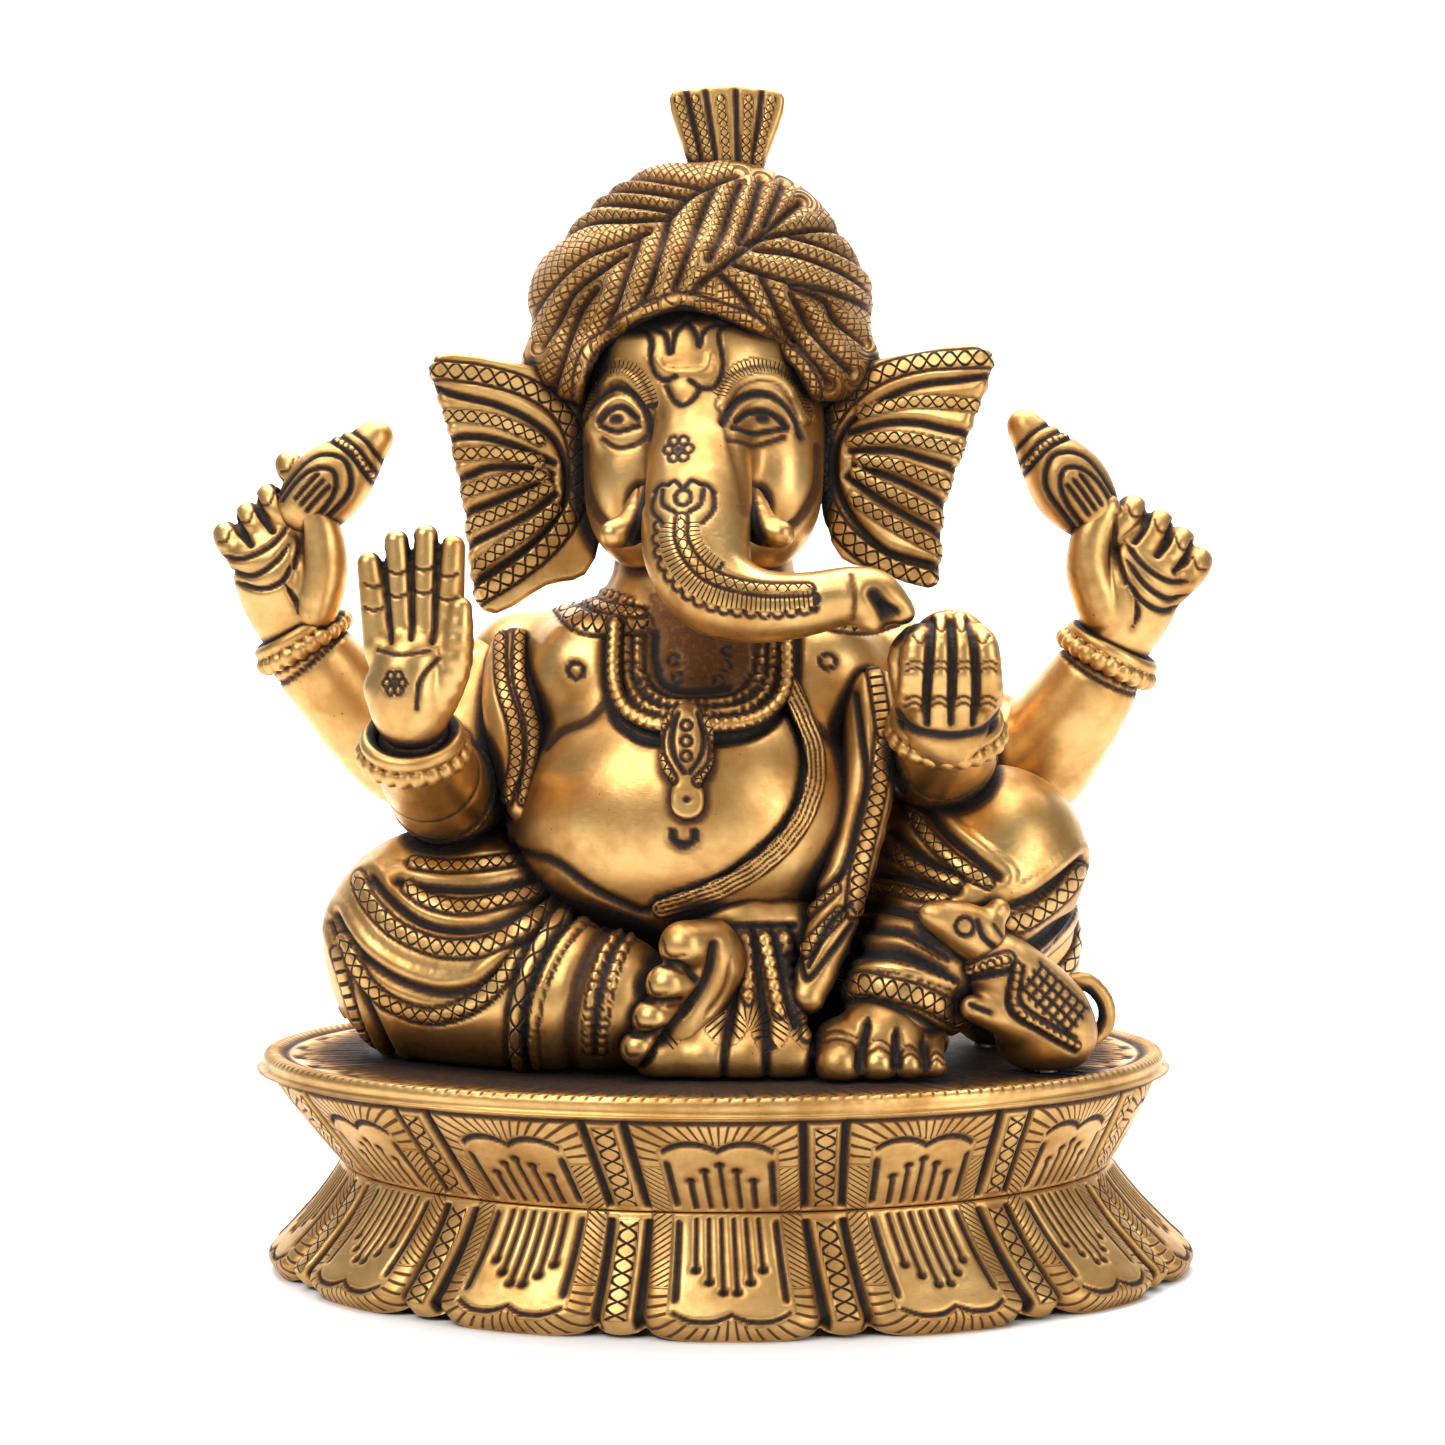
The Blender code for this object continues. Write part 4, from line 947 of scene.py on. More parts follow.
def chase_right_leg(w):
    w.folded([[(-60, 76.6), (-56.6, 75.9), (-51, 75.4), (-43.5, 75.3), (-37, 76.3), (-31.7, 77.8),
               (-28, 79.6)],
              [(-65.5, 77), (-59.9, 72.3), (-54.6, 69.2), (-48.3, 68.1), (-42.1, 68.8), (-36.4, 71),
               (-31.9, 73.5),
               (-25, 77)],
              [(-72.5, 69.5), (-67.9, 64), (-62.8, 60.3), (-56.7, 57.7), (-49.8, 56.6), (-43.5, 58),
               (-39.4, 61.5),
               (-35.7, 65.7), (-31, 70)],
              [(-74, 68), (-69.1, 60.3), (-66.3, 55.4), (-63.3, 48.7), (-61.2, 42.5)]], 1.15, 1.5, 2.2)
    w.band([(-57, 79.9), (-50.4, 79.2), (-44.4, 79.6), (-38.4, 80.3), (-32, 81)], 1.25, "scales", 2.4, 0.5)
    w.band([(-57.6, 75.4), (-54.4, 73.4), (-49.8, 72.1), (-44.8, 72), (-38.9, 73.3), (-33.1, 74.9),
            (-27.3, 78)], 1.35,
           "scales", 2.4, 0.5)
    w.band([(-68.2, 76.4), (-65.5, 72.8), (-60.3, 68.2), (-54.4, 65.6), (-49.1, 64.6), (-42.8, 65.1),
            (-37.9, 67.2),
            (-33.3, 70), (-29.8, 72.5), (-24.8, 76)], 1.6, "scales", 2.5, 0.5)
    w.band([(-70.6, 65), (-67.3, 60), (-63.9, 56.2), (-59, 53.2), (-53.6, 52), (-48.7, 52.9), (-43.4, 55.4),
            (-39.4, 59), (-35.4, 64)], 1.6, "scales", 2.6, 0.5)
    w.band([(-71.8, 62.6), (-69.4, 54.5), (-67.6, 48), (-66.5, 43)], 1.3, "hatch", 2.4, 0.4)
    hem = [(-20, 75.6), (-25, 73.2), (-29, 69.5), (-32.6, 63.5), (-35, 56), (-35.9, 47), (-35.6, 42.5)]
    w.band(hem, 1.5, "scales", 4.4, 0.9, 0.6)
    w.groove([(-22, 77), (-27, 74.4), (-31, 70.4), (-34.8, 64), (-37.2, 56), (-38, 47), (-37.8, 42.5)],
             0.6, 0.6, 0.9)
    w.groove([(-17, 74), (-23.6, 71.8), (-28.6, 67.4), (-31.8, 61.8), (-33.9, 55.5), (-34.5, 48),
              (-34.3, 43)], 0.6,
             0.7, 1.0)
    w.beads([(-16.4, 73), (-22.8, 70.6), (-27, 66.7), (-29.9, 61.6), (-32, 55.4), (-32.7, 48.5),
             (-32.5, 43)], 0.95,
            1.25)
    w.groove([(-14, 72), (-19.8, 68.4), (-22.6, 64.2), (-24.6, 59), (-25.9, 50), (-26, 43)], 1.4, 1.2, 0.75)
    w.beads([(-13.6, 70.3), (-18.4, 66.7), (-20.8, 62), (-22.3, 54.9), (-22.6, 47)], 0.85, 1.7)
    w.beads([(-11, 70.8), (-15.8, 66.1), (-18.2, 60.1), (-19.6, 53.4), (-20.2, 47)], 0.85, 1.7)
    w.groove([(-12, 70.8), (-17, 66.7), (-19.5, 61), (-21, 54), (-21.4, 46)], 0.5, 0.5, 1.0)
    back_folds(w, -1)


def chase_left_leg(w):
    w.folded([[(39, 95), (41, 90), (44, 85.6), (47.8, 82.4), (53.4, 77.9)],
              [(34, 86), (38.3, 81.9), (42.3, 79.7), (49, 77.6)],
              [(31, 77.8), (37.4, 77), (41.6, 76.2), (45, 75.5)],
              [(29, 72), (35.1, 71.6), (42.1, 72.2), (46.8, 71.8), (52.5, 72.2), (60.2, 74), (70.5, 80.4)]],
             1.2, 1.6, 2.2)
    w.band([(38, 91), (39.8, 86.6), (43, 82.6), (46.9, 79.4), (51, 76.9)], 1.3, "scales", 2.1, 0.5)
    w.band([(33.4, 82.3), (38.3, 79.4), (42.2, 77.8), (45.4, 76.9)], 1.2, "scales", 2.0, 0.5)
    w.band([(30.5, 74.9), (34.8, 74.7), (38.7, 74.3), (43, 74)], 1.0, "scales", 1.9, 0.5)
    w.band([(48, 69.2), (51, 69), (56.4, 69.2), (61.2, 71), (66.1, 74.2), (70, 78)], 1.9, "scales", 2.9, 0.4)
    w.groove([(28.6, 70.5), (34, 70.9), (39.5, 69.8), (44, 67)], 0.7, 0.8, 1.0)
    w.ridge([(28.8, 69), (34, 69.2), (38.8, 67.9), (43, 65)], 1.4, 0.9)
    w.groove([(28, 67.4), (34, 67.9), (38, 66.7), (43, 63.5)], 0.7, 0.9, 1.0)
    w.ridge([(28, 66), (33.7, 66.2), (37, 64.9), (42, 62)], 0.9, 0.8)
    w.groove([(27, 63.9), (34.4, 64.2), (40.2, 61.7), (44, 59)], 1.4, 1.4, 1.0)
    w.ridge([(25.5, 59.9), (29.5, 62), (36.3, 61.2), (44, 58.4)], 0.8, 0.5)
    w.band([(24, 55), (27.2, 58.6), (31.7, 58.2), (38.6, 56.4), (46, 52)], 2.0, "scales", 2.3, 0.5)
    w.groove([(22.5, 51), (25.4, 55.6), (31.6, 55.2), (39.1, 51.8), (46, 45)], 0.7, 0.8, 1.0)
    w.groove([(52, 60), (56, 62.6), (61.5, 65.2), (66, 67.5), (73, 69)], 1.6, 1.5, 1.0)
    w.ridge([(57, 59.4), (64, 62.6), (69, 66), (73.5, 70.5)], 1.1, 0.6)
    w.band([(73.5, 66), (71.8, 61.5), (67.5, 57)], 1.6, "scales", 3.2, 0.3)
    back_folds(w, 1)


def back_folds(w, side):
    """Cloth folds round the outer and rear of a leg."""
    for z in (50, 58, 66, 74):
        w.groove([(side * 76, z - 3), (side * 60, z), (side * 40, z + 2), (side * 20, z + 3)], 0.8, 0.7, 0.9,
                 face="back", taper=6)
    w.band([(side * 76, 49), (side * 60, 54), (side * 40, 56), (side * 20, 57)], 1.5, "scales", 2.6, 0.4,
           face="back")


def chase_right_foot(w):
    w.groove([(0.4, 66.4), (-0.4, 62.7), (-1.8, 58.8), (-4.6, 55), (-7.4, 51.4), (-12.6, 44)], 0.8, 1.1, 1.0)
    w.groove([(3.4, 64), (2.2, 58), (-1.8, 52.6)], 0.5, 0.3, 0.35, taper=2)
    for x, z, size in ((-6.6, 66.6, 2.4), (-9.6, 59.4, 1.9), (-12.2, 53.2, 1.7), (-14.4, 47.8, 1.4)):
        w.groove([(x - size, z + size * 0.3), (x - size * 0.6, z - size * 0.8),
                  (x + size * 0.7, z - size * 0.8)],
                 0.28, 0.2, 0.6)
    for line in ([(-8.5, 63.2), (-5.4, 62.8), (-2.8, 60)], [(-12.5, 56.8), (-9.6, 56.4), (-5.8, 56.6)],
                 [(-14.6, 50.6), (-11.6, 50.4), (-8.6, 51.4)]):
        w.groove(line, 0.55, 0.8, 1.0)


def chase_left_foot(w):
    for line in ([(28.4, 53.6), (27.4, 50.2), (26.6, 46.1), (26.4, 42.6)],
                 [(33.4, 52), (33.2, 48.6), (33, 42.6)],
                 [(38.6, 50.2), (38.4, 47.9), (38.2, 42.6)], [(42.5, 49), (43.2, 46), (43.4, 42.6)]):
        w.groove(line, 0.75, 1.2, 1.0, taper=2)
    for x, wide, top in ((22.8, 3.4, 50.4), (30, 2.4, 49), (35.6, 2, 48), (40.4, 1.5, 47)):
        for drop in (0, 1.2):
            w.groove([(x - wide, top - drop - 0.8), (x, top - drop + 0.3), (x + wide, top - drop - 0.9)],
                     0.26, 0.22,
                     0.55)


def chase_pleats(w):
    w.groove([(0.5, 68.8), (6.6, 69.2), (15.5, 68.9)], 0.7, 0.8, 1.0)
    for line in ([(7.4, 68.5), (8.2, 62.1), (8.9, 55.8), (9.6, 51.9), (9.7, 43)], [(10.9, 68.4), (12.7, 61.9),
                 (14, 55.3), (15.4, 51.7)], [(14.6, 68.4), (17.6, 59.8), (18.6, 54), (18.6, 43)],
                 [(3.6, 68), (4.4, 60), (3.2, 53), (2.2, 47), (2, 43)]):
        w.groove(line, 0.75, 1.2, 1.0)
    w.beads([(9.4, 67.6), (10.3, 63.4), (11.3, 58), (12.2, 54)], 1.2, 2.1, 0.8)
    w.beads([(12.9, 67.6), (14.6, 61.9), (16.2, 56), (17.2, 50)], 1.2, 2.1, 0.8)
    w.beads([(5.8, 67.6), (6.4, 61.9), (6.5, 56)], 1.1, 2.0, 0.7)
    w.fringe([(-9, 49), (-5, 52.6), (-1, 54), (2.4, 50.6), (5.6, 53.6), (8.8, 52.6), (10.4, 49.6),
              (13.6, 53.4),
              (17.4, 50)], 2.6, 0.95)


def chase_head(w):
    w.ridge([(-24.3, 166.4), (-22.4, 170.8), (-19.3, 173), (-15.9, 172.2), (-13.4, 168.8), (-12.4, 165)],
            1.25, 0.7,
            edge=0.5)
    w.ridge([(1.7, 166), (3.9, 170.5), (7.7, 172.6), (11.8, 172.6), (15.2, 170.2), (17.4, 165)], 1.25,
            0.7, edge=0.5)
    w.fringe([(-24.8, 167), (-22.6, 171.8), (-19.2, 174.4), (-15.4, 173.6), (-12.6, 170), (-11.6, 167)],
             1.5, 0.75)
    w.fringe([(0.9, 167.6), (3.6, 172), (7.8, 174.2), (12.4, 174), (16, 171.4), (18.2, 166.4)], 1.5, 0.75)
    w.groove([(-24.6, 165.4), (-21.8, 169), (-19.1, 170.6), (-15.9, 169.6), (-13.4, 167), (-12.2, 164),
              (-12.4, 160.5)], 0.7, 0.7, 1.0)
    w.groove([(2, 162.5), (4.2, 166.9), (7.8, 168.9), (11.8, 168.6), (14.4, 166), (17, 161.2)], 0.75, 0.7,
             1.0)
    w.ridge([(-22, 165), (-20, 167.8), (-17.2, 168.2), (-14.4, 165.8), (-13.4, 163.6)], 0.8, 0.5, edge=0.3)
    w.ridge([(3.8, 163.4), (6.4, 166.4), (9.7, 167.2), (12.8, 165.8), (14.6, 163.2)], 0.8, 0.5, edge=0.3)
    w.groove([(-21.8, 164), (-19.6, 166.3), (-17, 166.6), (-14.4, 164.4)], 0.6, 0.6, 1.0)
    w.groove([(4.4, 163), (6.8, 165.2), (9.8, 165.7), (12.4, 164.4), (14, 162.6)], 0.6, 0.6, 1.0)
    for x in (-18.4, 9.5):
        w.groove([(x - 0.4, 164.3), (x + 0.4, 164.3)], 0.95, 0.4, 1.0)
    w.groove([(-21.6, 163.2), (-18.3, 161.9), (-14.1, 163)], 0.5, 0.5, 1.0)
    w.groove([(3.9, 161.6), (7.7, 161.3), (13.4, 162.4)], 0.5, 0.5, 1.0)
    w.groove([(-21.1, 160.6), (-18.2, 158.9), (-14.4, 159.6), (-12.7, 161.4)], 0.5, 0.45, 0.8)
    w.groove([(3.2, 159.1), (7.7, 158.9), (13.5, 160.8)], 0.5, 0.45, 0.8)
    w.groove([(-12, 165), (-13.2, 158), (-13.6, 152), (-13, 147)], 0.9, 0.4, 0.3)
    w.groove([(2.2, 164), (4, 156), (5.4, 150), (6, 145)], 0.9, 0.4, 0.3)
    w.groove([(-25, 160), (-24.5, 152), (-22, 146), (-17, 142)], 1.0, 0.6, 0.7)
    w.groove([(20.4, 160), (20, 152), (17, 146), (12, 142)], 1.0, 0.6, 0.7)
    forehead_mark(w)
    trunk_ornament(w)


def forehead_mark(w):
    """The raised trident mark between the brows."""
    for line in ([(-13, 181.6), (-11.8, 179), (-11.8, 175.8), (-11, 172.6), (-9, 171.2), (-6.9, 171.8)],
                 [(-10.6, 181.4), (-8.9, 180), (-8.3, 176.4)], [(-7.9, 176.5), (-7, 180.6), (-4.9, 183)],
                 [(-4.9, 183), (-3.3, 180.4), (-2.6, 177.6), (-1.9, 180.2), (-0.2, 182), (2.2, 182.2)],
                 [(2.4, 182), (1.1, 180), (2, 174), (0.6, 170), (-1.9, 169.4), (-4.5, 171)],
                 [(-8.9, 170), (-7.5, 167.2), (-5.7, 166), (-3.6, 167.3), (-2.5, 169.2)]):
        w.groove(line, 0.48, 0.45, 1.0)
    w.ridge([(-10.4, 175), (-9, 173), (-5, 172.6), (-1.4, 173), (-0.4, 176)], 0.8, 0.4, edge=0.2)


def trunk_ornament(w):
    """A lotus on the trunk, a flower over it, and rows of scales and feathers down to the tip."""
    w.groove(ring((-5.4, 147.4), 1.5), 0.4, 0.35, 1.0)
    for line in ([(-10.6, 148.6), (-11.2, 145.4), (-9.2, 142.6)], [(-9.3, 149), (-9.2, 146.2), (-6.8, 144.6)],
                 [(-8.4, 150), (-7, 150.6), (-5.8, 149.4)], [(-5, 149.4), (-3.8, 150.6), (-2.2, 150)],
                 [(-1.6, 149), (-2.2, 146), (-4.2, 144.6)], [(0.3, 148.2), (0.2, 145), (-1.8, 142.6)],
                 [(-8.2, 150), (-9.6, 150), (-10.8, 148.8)], [(-2.2, 150), (-0.8, 149.6), (0.3, 148.4)]):
        w.groove(line, 0.4, 0.35, 1.0)
    for turn in range(6):
        a = math.tau * turn / 6
        w.groove(ring((-6.4 + 1.9 * math.cos(a), 157 + 1.9 * math.sin(a)), 0.9, 8), 0.3, 0.25, 0.9)
    w.groove([(-6.5, 157), (-6.3, 157)], 0.7, 0.3, 0.9)
    middle = [(-5.6, 143.2), (-5.6, 139.6), (-3.7, 135.8), (-0.7, 133), (4.1, 131.2), (9.5, 130.4),
              (17, 130.4)]
    w.band(middle, 1.15, "scales", 1.9, 0.25)
    w.fringe([(-8, 143), (-8.2, 139.7), (-6.7, 135.2), (-4, 131.8), (-0.6, 129.6), (4.1, 128.4), (11.1, 128),
              (18, 128.6)], 1.7, 0.85)
    w.scallops([(-9.6, 143.4), (-10, 139.4), (-8.6, 134.4), (-5.4, 130.4), (-1.4, 127.9), (4, 126.6),
                (11, 126.2),
                (18, 127)], 0.9, 2.4)
    w.fringe([(-3.2, 143), (-3, 139.4), (-1.2, 136.6), (1.2, 134.8)], 1.2, 0.8)
    w.groove([(28.8, 129.4), (30.2, 127.2), (31.2, 125.6)], 1.35, 1.8, 1.0)
    w.groove([(30.4, 127.4), (32.6, 126.2)], 0.9, 1.0, 1.0)
    w.groove([(24.6, 133), (25.2, 129), (25, 125)], 0.6, 0.4, 0.5)


def chase_tusk(w):
    for x in np.unique(np.sign(w.p[:, 0] + 3)):
        w.groove([(-3 + 11 * x, 152), (-3 + 11 * x, 143), (-3 + 14 * x, 138)], 0.3, 0.2, 0.6)


def chase_right_ear(w):
    w.folded([[(-58, 172.6), (-50.2, 170), (-42.4, 168.4), (-36, 165.8), (-31, 162), (-29, 157.6),
               (-28.6, 152.4),
               (-29.8, 147.7), (-33.3, 143.2), (-39, 138.5), (-48, 132.4)],
              [(-53.5, 161), (-46.1, 161.9), (-40.2, 161), (-35.2, 159.2), (-31, 157.4)],
              [(-52, 153.3), (-47.1, 154.3), (-43.4, 155.9), (-37.7, 156.2), (-31.4, 155.2)],
              [(-50, 146.2), (-42.4, 149.3), (-37.1, 151.7), (-31.6, 153.8)],
              [(-48.4, 140.4), (-40.9, 144.2), (-35.2, 147.6), (-30.8, 151.2)]], 0.85, 1.3, 3.0)
    w.band([(-57, 174.6), (-48.6, 174.4), (-42.4, 173.6), (-36.5, 172), (-31.4, 169.2), (-28.4, 165.4),
            (-26.8, 161),
            (-26.2, 155.7), (-26.4, 150.8), (-28, 147), (-31, 142.6), (-35, 138.6), (-40, 134.8),
            (-46, 131)], 1.8,
           "scales", 2.9, 0.3)
    for line in ([(-52.5, 166), (-44, 165.4), (-39, 164), (-34, 161.8)], [(-52.5, 158), (-47.1, 158.6),
                 (-41.5, 158.8), (-34, 157.7)], [(-50.5, 150.4), (-44, 152.6), (-39, 154), (-33, 155)],
                 [(-48.5, 144), (-42.4, 147), (-37.1, 149.7), (-32.2, 152.6)],
                 [(-46, 136.6), (-40.2, 141.3), (-35.2, 144.9), (-31, 148.4)]):
        w.band(line, 1.35, "scales", 2.3, 0.3, edge=0.35)
    ear_back(w, -1)


def chase_left_ear(w):
    w.folded([[(56, 173.8), (47.4, 172.9), (41.2, 172.4), (36.5, 171.2), (31.1, 168.6), (27, 165.8),
               (24.4, 162),
               (23.6, 158), (24, 153.5), (26.2, 148.5), (29.2, 144.2), (33.3, 140.3), (38, 138.4),
               (45, 136.6)],
              [(26.5, 163.6), (33.3, 165), (39.6, 164.8), (45.2, 163.3), (52, 161.8)],
              [(27, 160), (34.9, 159.6), (41.2, 157.6), (49.5, 154.6)],
              [(27.6, 157.2), (35.2, 154.1), (40.2, 151.5), (46, 148)],
              [(26.3, 155), (31.7, 150.6), (38, 146.5), (45, 142.6)]], 0.85, 1.3, 3.0)
    w.band([(56, 177), (47.4, 177), (41.2, 176.8), (35.2, 175.6), (30.1, 173.4), (26.2, 170.4), (23.4, 167),
            (21.6, 163), (20.8, 158), (21.2, 152.6), (23, 147.6), (26.2, 143.2), (31, 139), (36.5, 136.2),
            (42.8, 134.4)], 1.8, "scales", 2.9, 0.3)
    for line in ([(29, 167.3), (36.5, 168.8), (42.8, 168.8), (52.5, 167.6)], [(27.3, 161.8), (33.3, 162.2),
                 (39.6, 161.4), (50, 158.4)], [(28.6, 158.2), (35.2, 156.8), (40.2, 154.8), (47.5, 151.6)],
                 [(28, 155.6), (33.3, 152.2), (39, 149.1), (45, 145.6)], [(27.6, 150.6), (33.3, 146.5),
                 (38, 143.6), (44.6, 139.8)]):
        w.band(line, 1.35, "scales", 2.3, 0.3, edge=0.35)
    ear_back(w, 1)


def ear_back(w, side):
    for reach in (0, 1, 2, 3):
        w.groove([(side * (52 - 2 * reach), 170 - 9 * reach), (side * 38, 166 - 8 * reach),
                  (side * 26, 162 - 5 * reach)], 0.7, 0.4, 0.8, face="back", taper=4)


TURBAN_FRONT = [
    [(-36, 187.5), (-29.7, 192.9), (-24.1, 196.5), (-18.2, 198.1), (-12.5, 200.2)],
    [(-33.5, 180), (-29.7, 185.5), (-26.8, 189.6), (-21.7, 192.8), (-16.8, 195.8)],
    [(-31, 172), (-29.1, 176.7), (-26.9, 183.6), (-24.5, 187.1), (-22.4, 189.4)],
    [(-21.6, 178.4), (-20.3, 182), (-17.9, 187.4), (-15.9, 193.5), (-14.4, 198.6)],
    [(-15, 182.4), (-11.8, 189), (-10.4, 194.8), (-8.5, 203)],
    [(-7.4, 187.2), (-5.1, 194), (-3, 201.3), (0, 209.4)],
    [(-0.6, 193.2), (1.6, 198.8), (3.3, 204.9), (5.3, 211)],
    [(5, 197.4), (7.3, 203.7), (9.4, 212)],
    [(10, 201.6), (12.4, 207.8), (13.6, 212)],
    [(-8.5, 203), (-4.6, 207.6), (0.7, 210.8), (4.7, 213)],
    [(-5.3, 185.4), (-2.7, 188.3), (3.3, 193.2), (8.1, 198.4), (12.2, 202.6), (17, 208)],
    [(-35, 200), (-30.2, 202.3), (-24.1, 204.2), (-16.1, 203.2), (-8.5, 203)],
    [(-32, 205), (-28.5, 207), (-23.5, 208.6), (-16.2, 206.8), (-8.1, 204.6)],
    [(-29, 210), (-26.3, 211), (-21.1, 211.6), (-14, 209.8), (-5.5, 207.4)],
    [(-23.1, 214), (-16.6, 214), (-9.5, 211.6), (-2.5, 209.6)],
    [(5.9, 197.6), (10.3, 199.4), (17.1, 201.6), (24.4, 204), (31, 205)],
    [(8.1, 196.4), (14.7, 196.4), (20.1, 195.4), (27.7, 193.4), (34, 191)],
    [(14.8, 200.2), (20.3, 199.4), (25.4, 198.4), (31, 197)],
    [(4.1, 192.6), (10.2, 191.2), (16.9, 190.2), (21.9, 189.8), (33, 188.6)],
    [(15.1, 189.6), (21.5, 187.8), (23.6, 184.9), (29.5, 181)],
    [(1.1, 190.6), (4.6, 187.4), (8.8, 182.4)],
    [(9.3, 190.4), (12.8, 183.8), (16.4, 178.6), (22.4, 172)],
    [(15.1, 188), (18.7, 182.6), (22.6, 178), (27, 174.6)],
]
TURBAN_BACK = [
    [(-36, 184), (-22, 178), (0, 174), (18, 178), (31, 184)],
    [(-37, 192), (-24, 186), (0, 182), (18, 186), (33, 191)],
    [(-35, 200), (-22, 195), (0, 190), (18, 195), (31, 200)],
    [(-30, 208), (-18, 204), (0, 199), (14, 204), (26, 208)],
    [(-20, 215), (-10, 211), (0, 208), (10, 211), (17, 215)],
]


def chase_turban(w):
    w.folds(TURBAN_FRONT, 2.2, 2.2, weave=1.7, reach=5.0)
    w.folds(TURBAN_BACK, 1.9, 2.6, face="back", weave=1.7, reach=6.0)
    w.ridge([(-26.6, 168), (-24.2, 176.6), (-20.2, 180.8), (-15.8, 183.2), (-10.1, 185.4), (-5.3, 186.3),
             (1.8, 184.7), (8.8, 181.7), (14.6, 177.4), (18.6, 172.8), (20.2, 168)], 1.0, 0.7, edge=1.0)


def chase_plume(w):
    for x, top in ((-2.6, -5.4), (0.4, -1.6), (4.8, 4.4), (8, 9.6)):
        w.groove([(x, 211), (x, 218), (top, 231.6)], 0.55, 0.6, 1.0)
    for x, top in ((-4, -7), (-1, -3.6), (2.6, 1.4), (6.4, 7), (9, 11.6)):
        w.band([(x, 214), (x, 219), (top, 230)], 0.95, "scales", 1.7, 0.25, edge=0.3)
    for x, top in ((-2.6, -5), (2, 1.6), (7.4, 8)):
        w.groove([(x, 211), (x, 218), (top, 231.6)], 0.7, 0.5, 0.9, face="back")


def chase_arm(path, bands):
    """Cloth edges round an upper arm, where the shawl falls over it."""
    def chase(w):
        spots = np.array(path)[:, :3]
        for where, kind in bands:
            t = where * (len(spots) - 1)
            i = min(int(t), len(spots) - 2)
            centre = spots[i] + (spots[i + 1] - spots[i]) * (t - i)
            axis = (spots[i + 1] - spots[i]) / np.linalg.norm(spots[i + 1] - spots[i])
            w.hoop(centre, axis, kind)
    return chase


def chase_open_hand(w):
    for x0, z0, x1, z1 in ((-57.6, 121, -59.4, 137), (-53.8, 121.6, -54.4, 139.4), (-50, 121, -49.3, 139)):
        w.groove([(x0, z0), (x1, z1)], 0.4, 0.9, 1.0)
    for x, z in ((-60.8, 127.6), (-56.6, 130), (-51.8, 130.6), (-47.5, 129.4)):
        for step in (0, 4.2):
            w.groove([(x - 1.8, z + step - 0.3), (x, z + step - 0.9), (x + 1.8, z + step - 0.3)], 0.28,
                     0.3, 0.8)
    w.groove([(-60, 119.6), (-55.5, 118.6), (-50.5, 119.4)], 0.35, 0.3, 0.8)
    w.groove([(-49, 118), (-52, 114), (-52.6, 109)], 0.4, 0.35, 0.9)
    flower(w, (-56.6, 113.6), 1.5)


def flower(w, centre, size):
    """A small engraved blossom."""
    for turn in range(6):
        a = math.tau * turn / 6
        w.groove(ring((centre[0] + size * math.cos(a), centre[1] + size * math.sin(a)), size * 0.5, 8),
                 0.28, 0.3,
                 0.95)
    w.groove([(centre[0] - 0.1, centre[1]), (centre[0] + 0.1, centre[1])], 0.6, 0.3, 0.95)


def chase_front_left_hand(w):
    for x, bend in ((38.2, 1.0), (42.6, 0.0), (46.9, -1.0)):
        w.groove([(x, 106.4), (x, 113), (x + bend * 0.4, 119.5), (x + bend, 125)], 0.55, 1.1, 1.0)
    for x in (36, 40.4, 44.8, 49):
        for z in (109.6, 110.8, 116, 117.2):
            w.groove([(x - 1.6, z - 0.3), (x, z + 0.4), (x + 1.6, z - 0.3)], 0.25, 0.22, 0.6)
    for x, z in ((37, 122.6), (40.8, 124.8), (44.4, 124.8), (48, 122.6)):
        w.groove([(x - 1.4, z - 0.4), (x, z - 2), (x + 1.4, z - 0.4)], 0.25, 0.22, 0.6)
    w.groove([(33, 108.4), (36, 105.4), (42.5, 104.2), (49, 105.4), (52, 108.4)], 0.7, 0.7, 1.0)


def chase_back_right_hand(w):
    for x, z in ((-97, 144), (-92.4, 147.8), (-88.3, 151.4), (-84.6, 158)):
        w.groove([(x - 1, z - 1.8), (x + 0.8, z - 1.6), (x + 1.6, z + 0.8)], 0.25, 0.25, 0.7)
    for line in ([(-95.4, 148), (-93.4, 144.6), (-91, 141.6)], [(-91, 151), (-89.2, 147.6), (-86.8, 144.4)],
                 [(-86.4, 154), (-84.6, 149.6), (-83, 146.8)]):
        w.groove(line, 0.6, 1.2, 1.0)
    for line in ([(-97.4, 139.8), (-92.6, 138.8), (-87, 141.4), (-83.4, 146)],
                 [(-97, 137.2), (-91, 135.4), (-86, 138), (-83.2, 142)],
                 [(-95, 134.6), (-89, 132.8), (-84.4, 134.4), (-82.6, 138.6)],
                 [(-84.4, 134.4), (-82.4, 131), (-81.8, 128)]):
        w.groove(line, 0.5, 0.8, 0.95, taper=2.5)
    w.groove([(-81.6, 149), (-81.2, 143), (-82.2, 137)], 0.45, 0.8, 0.9)


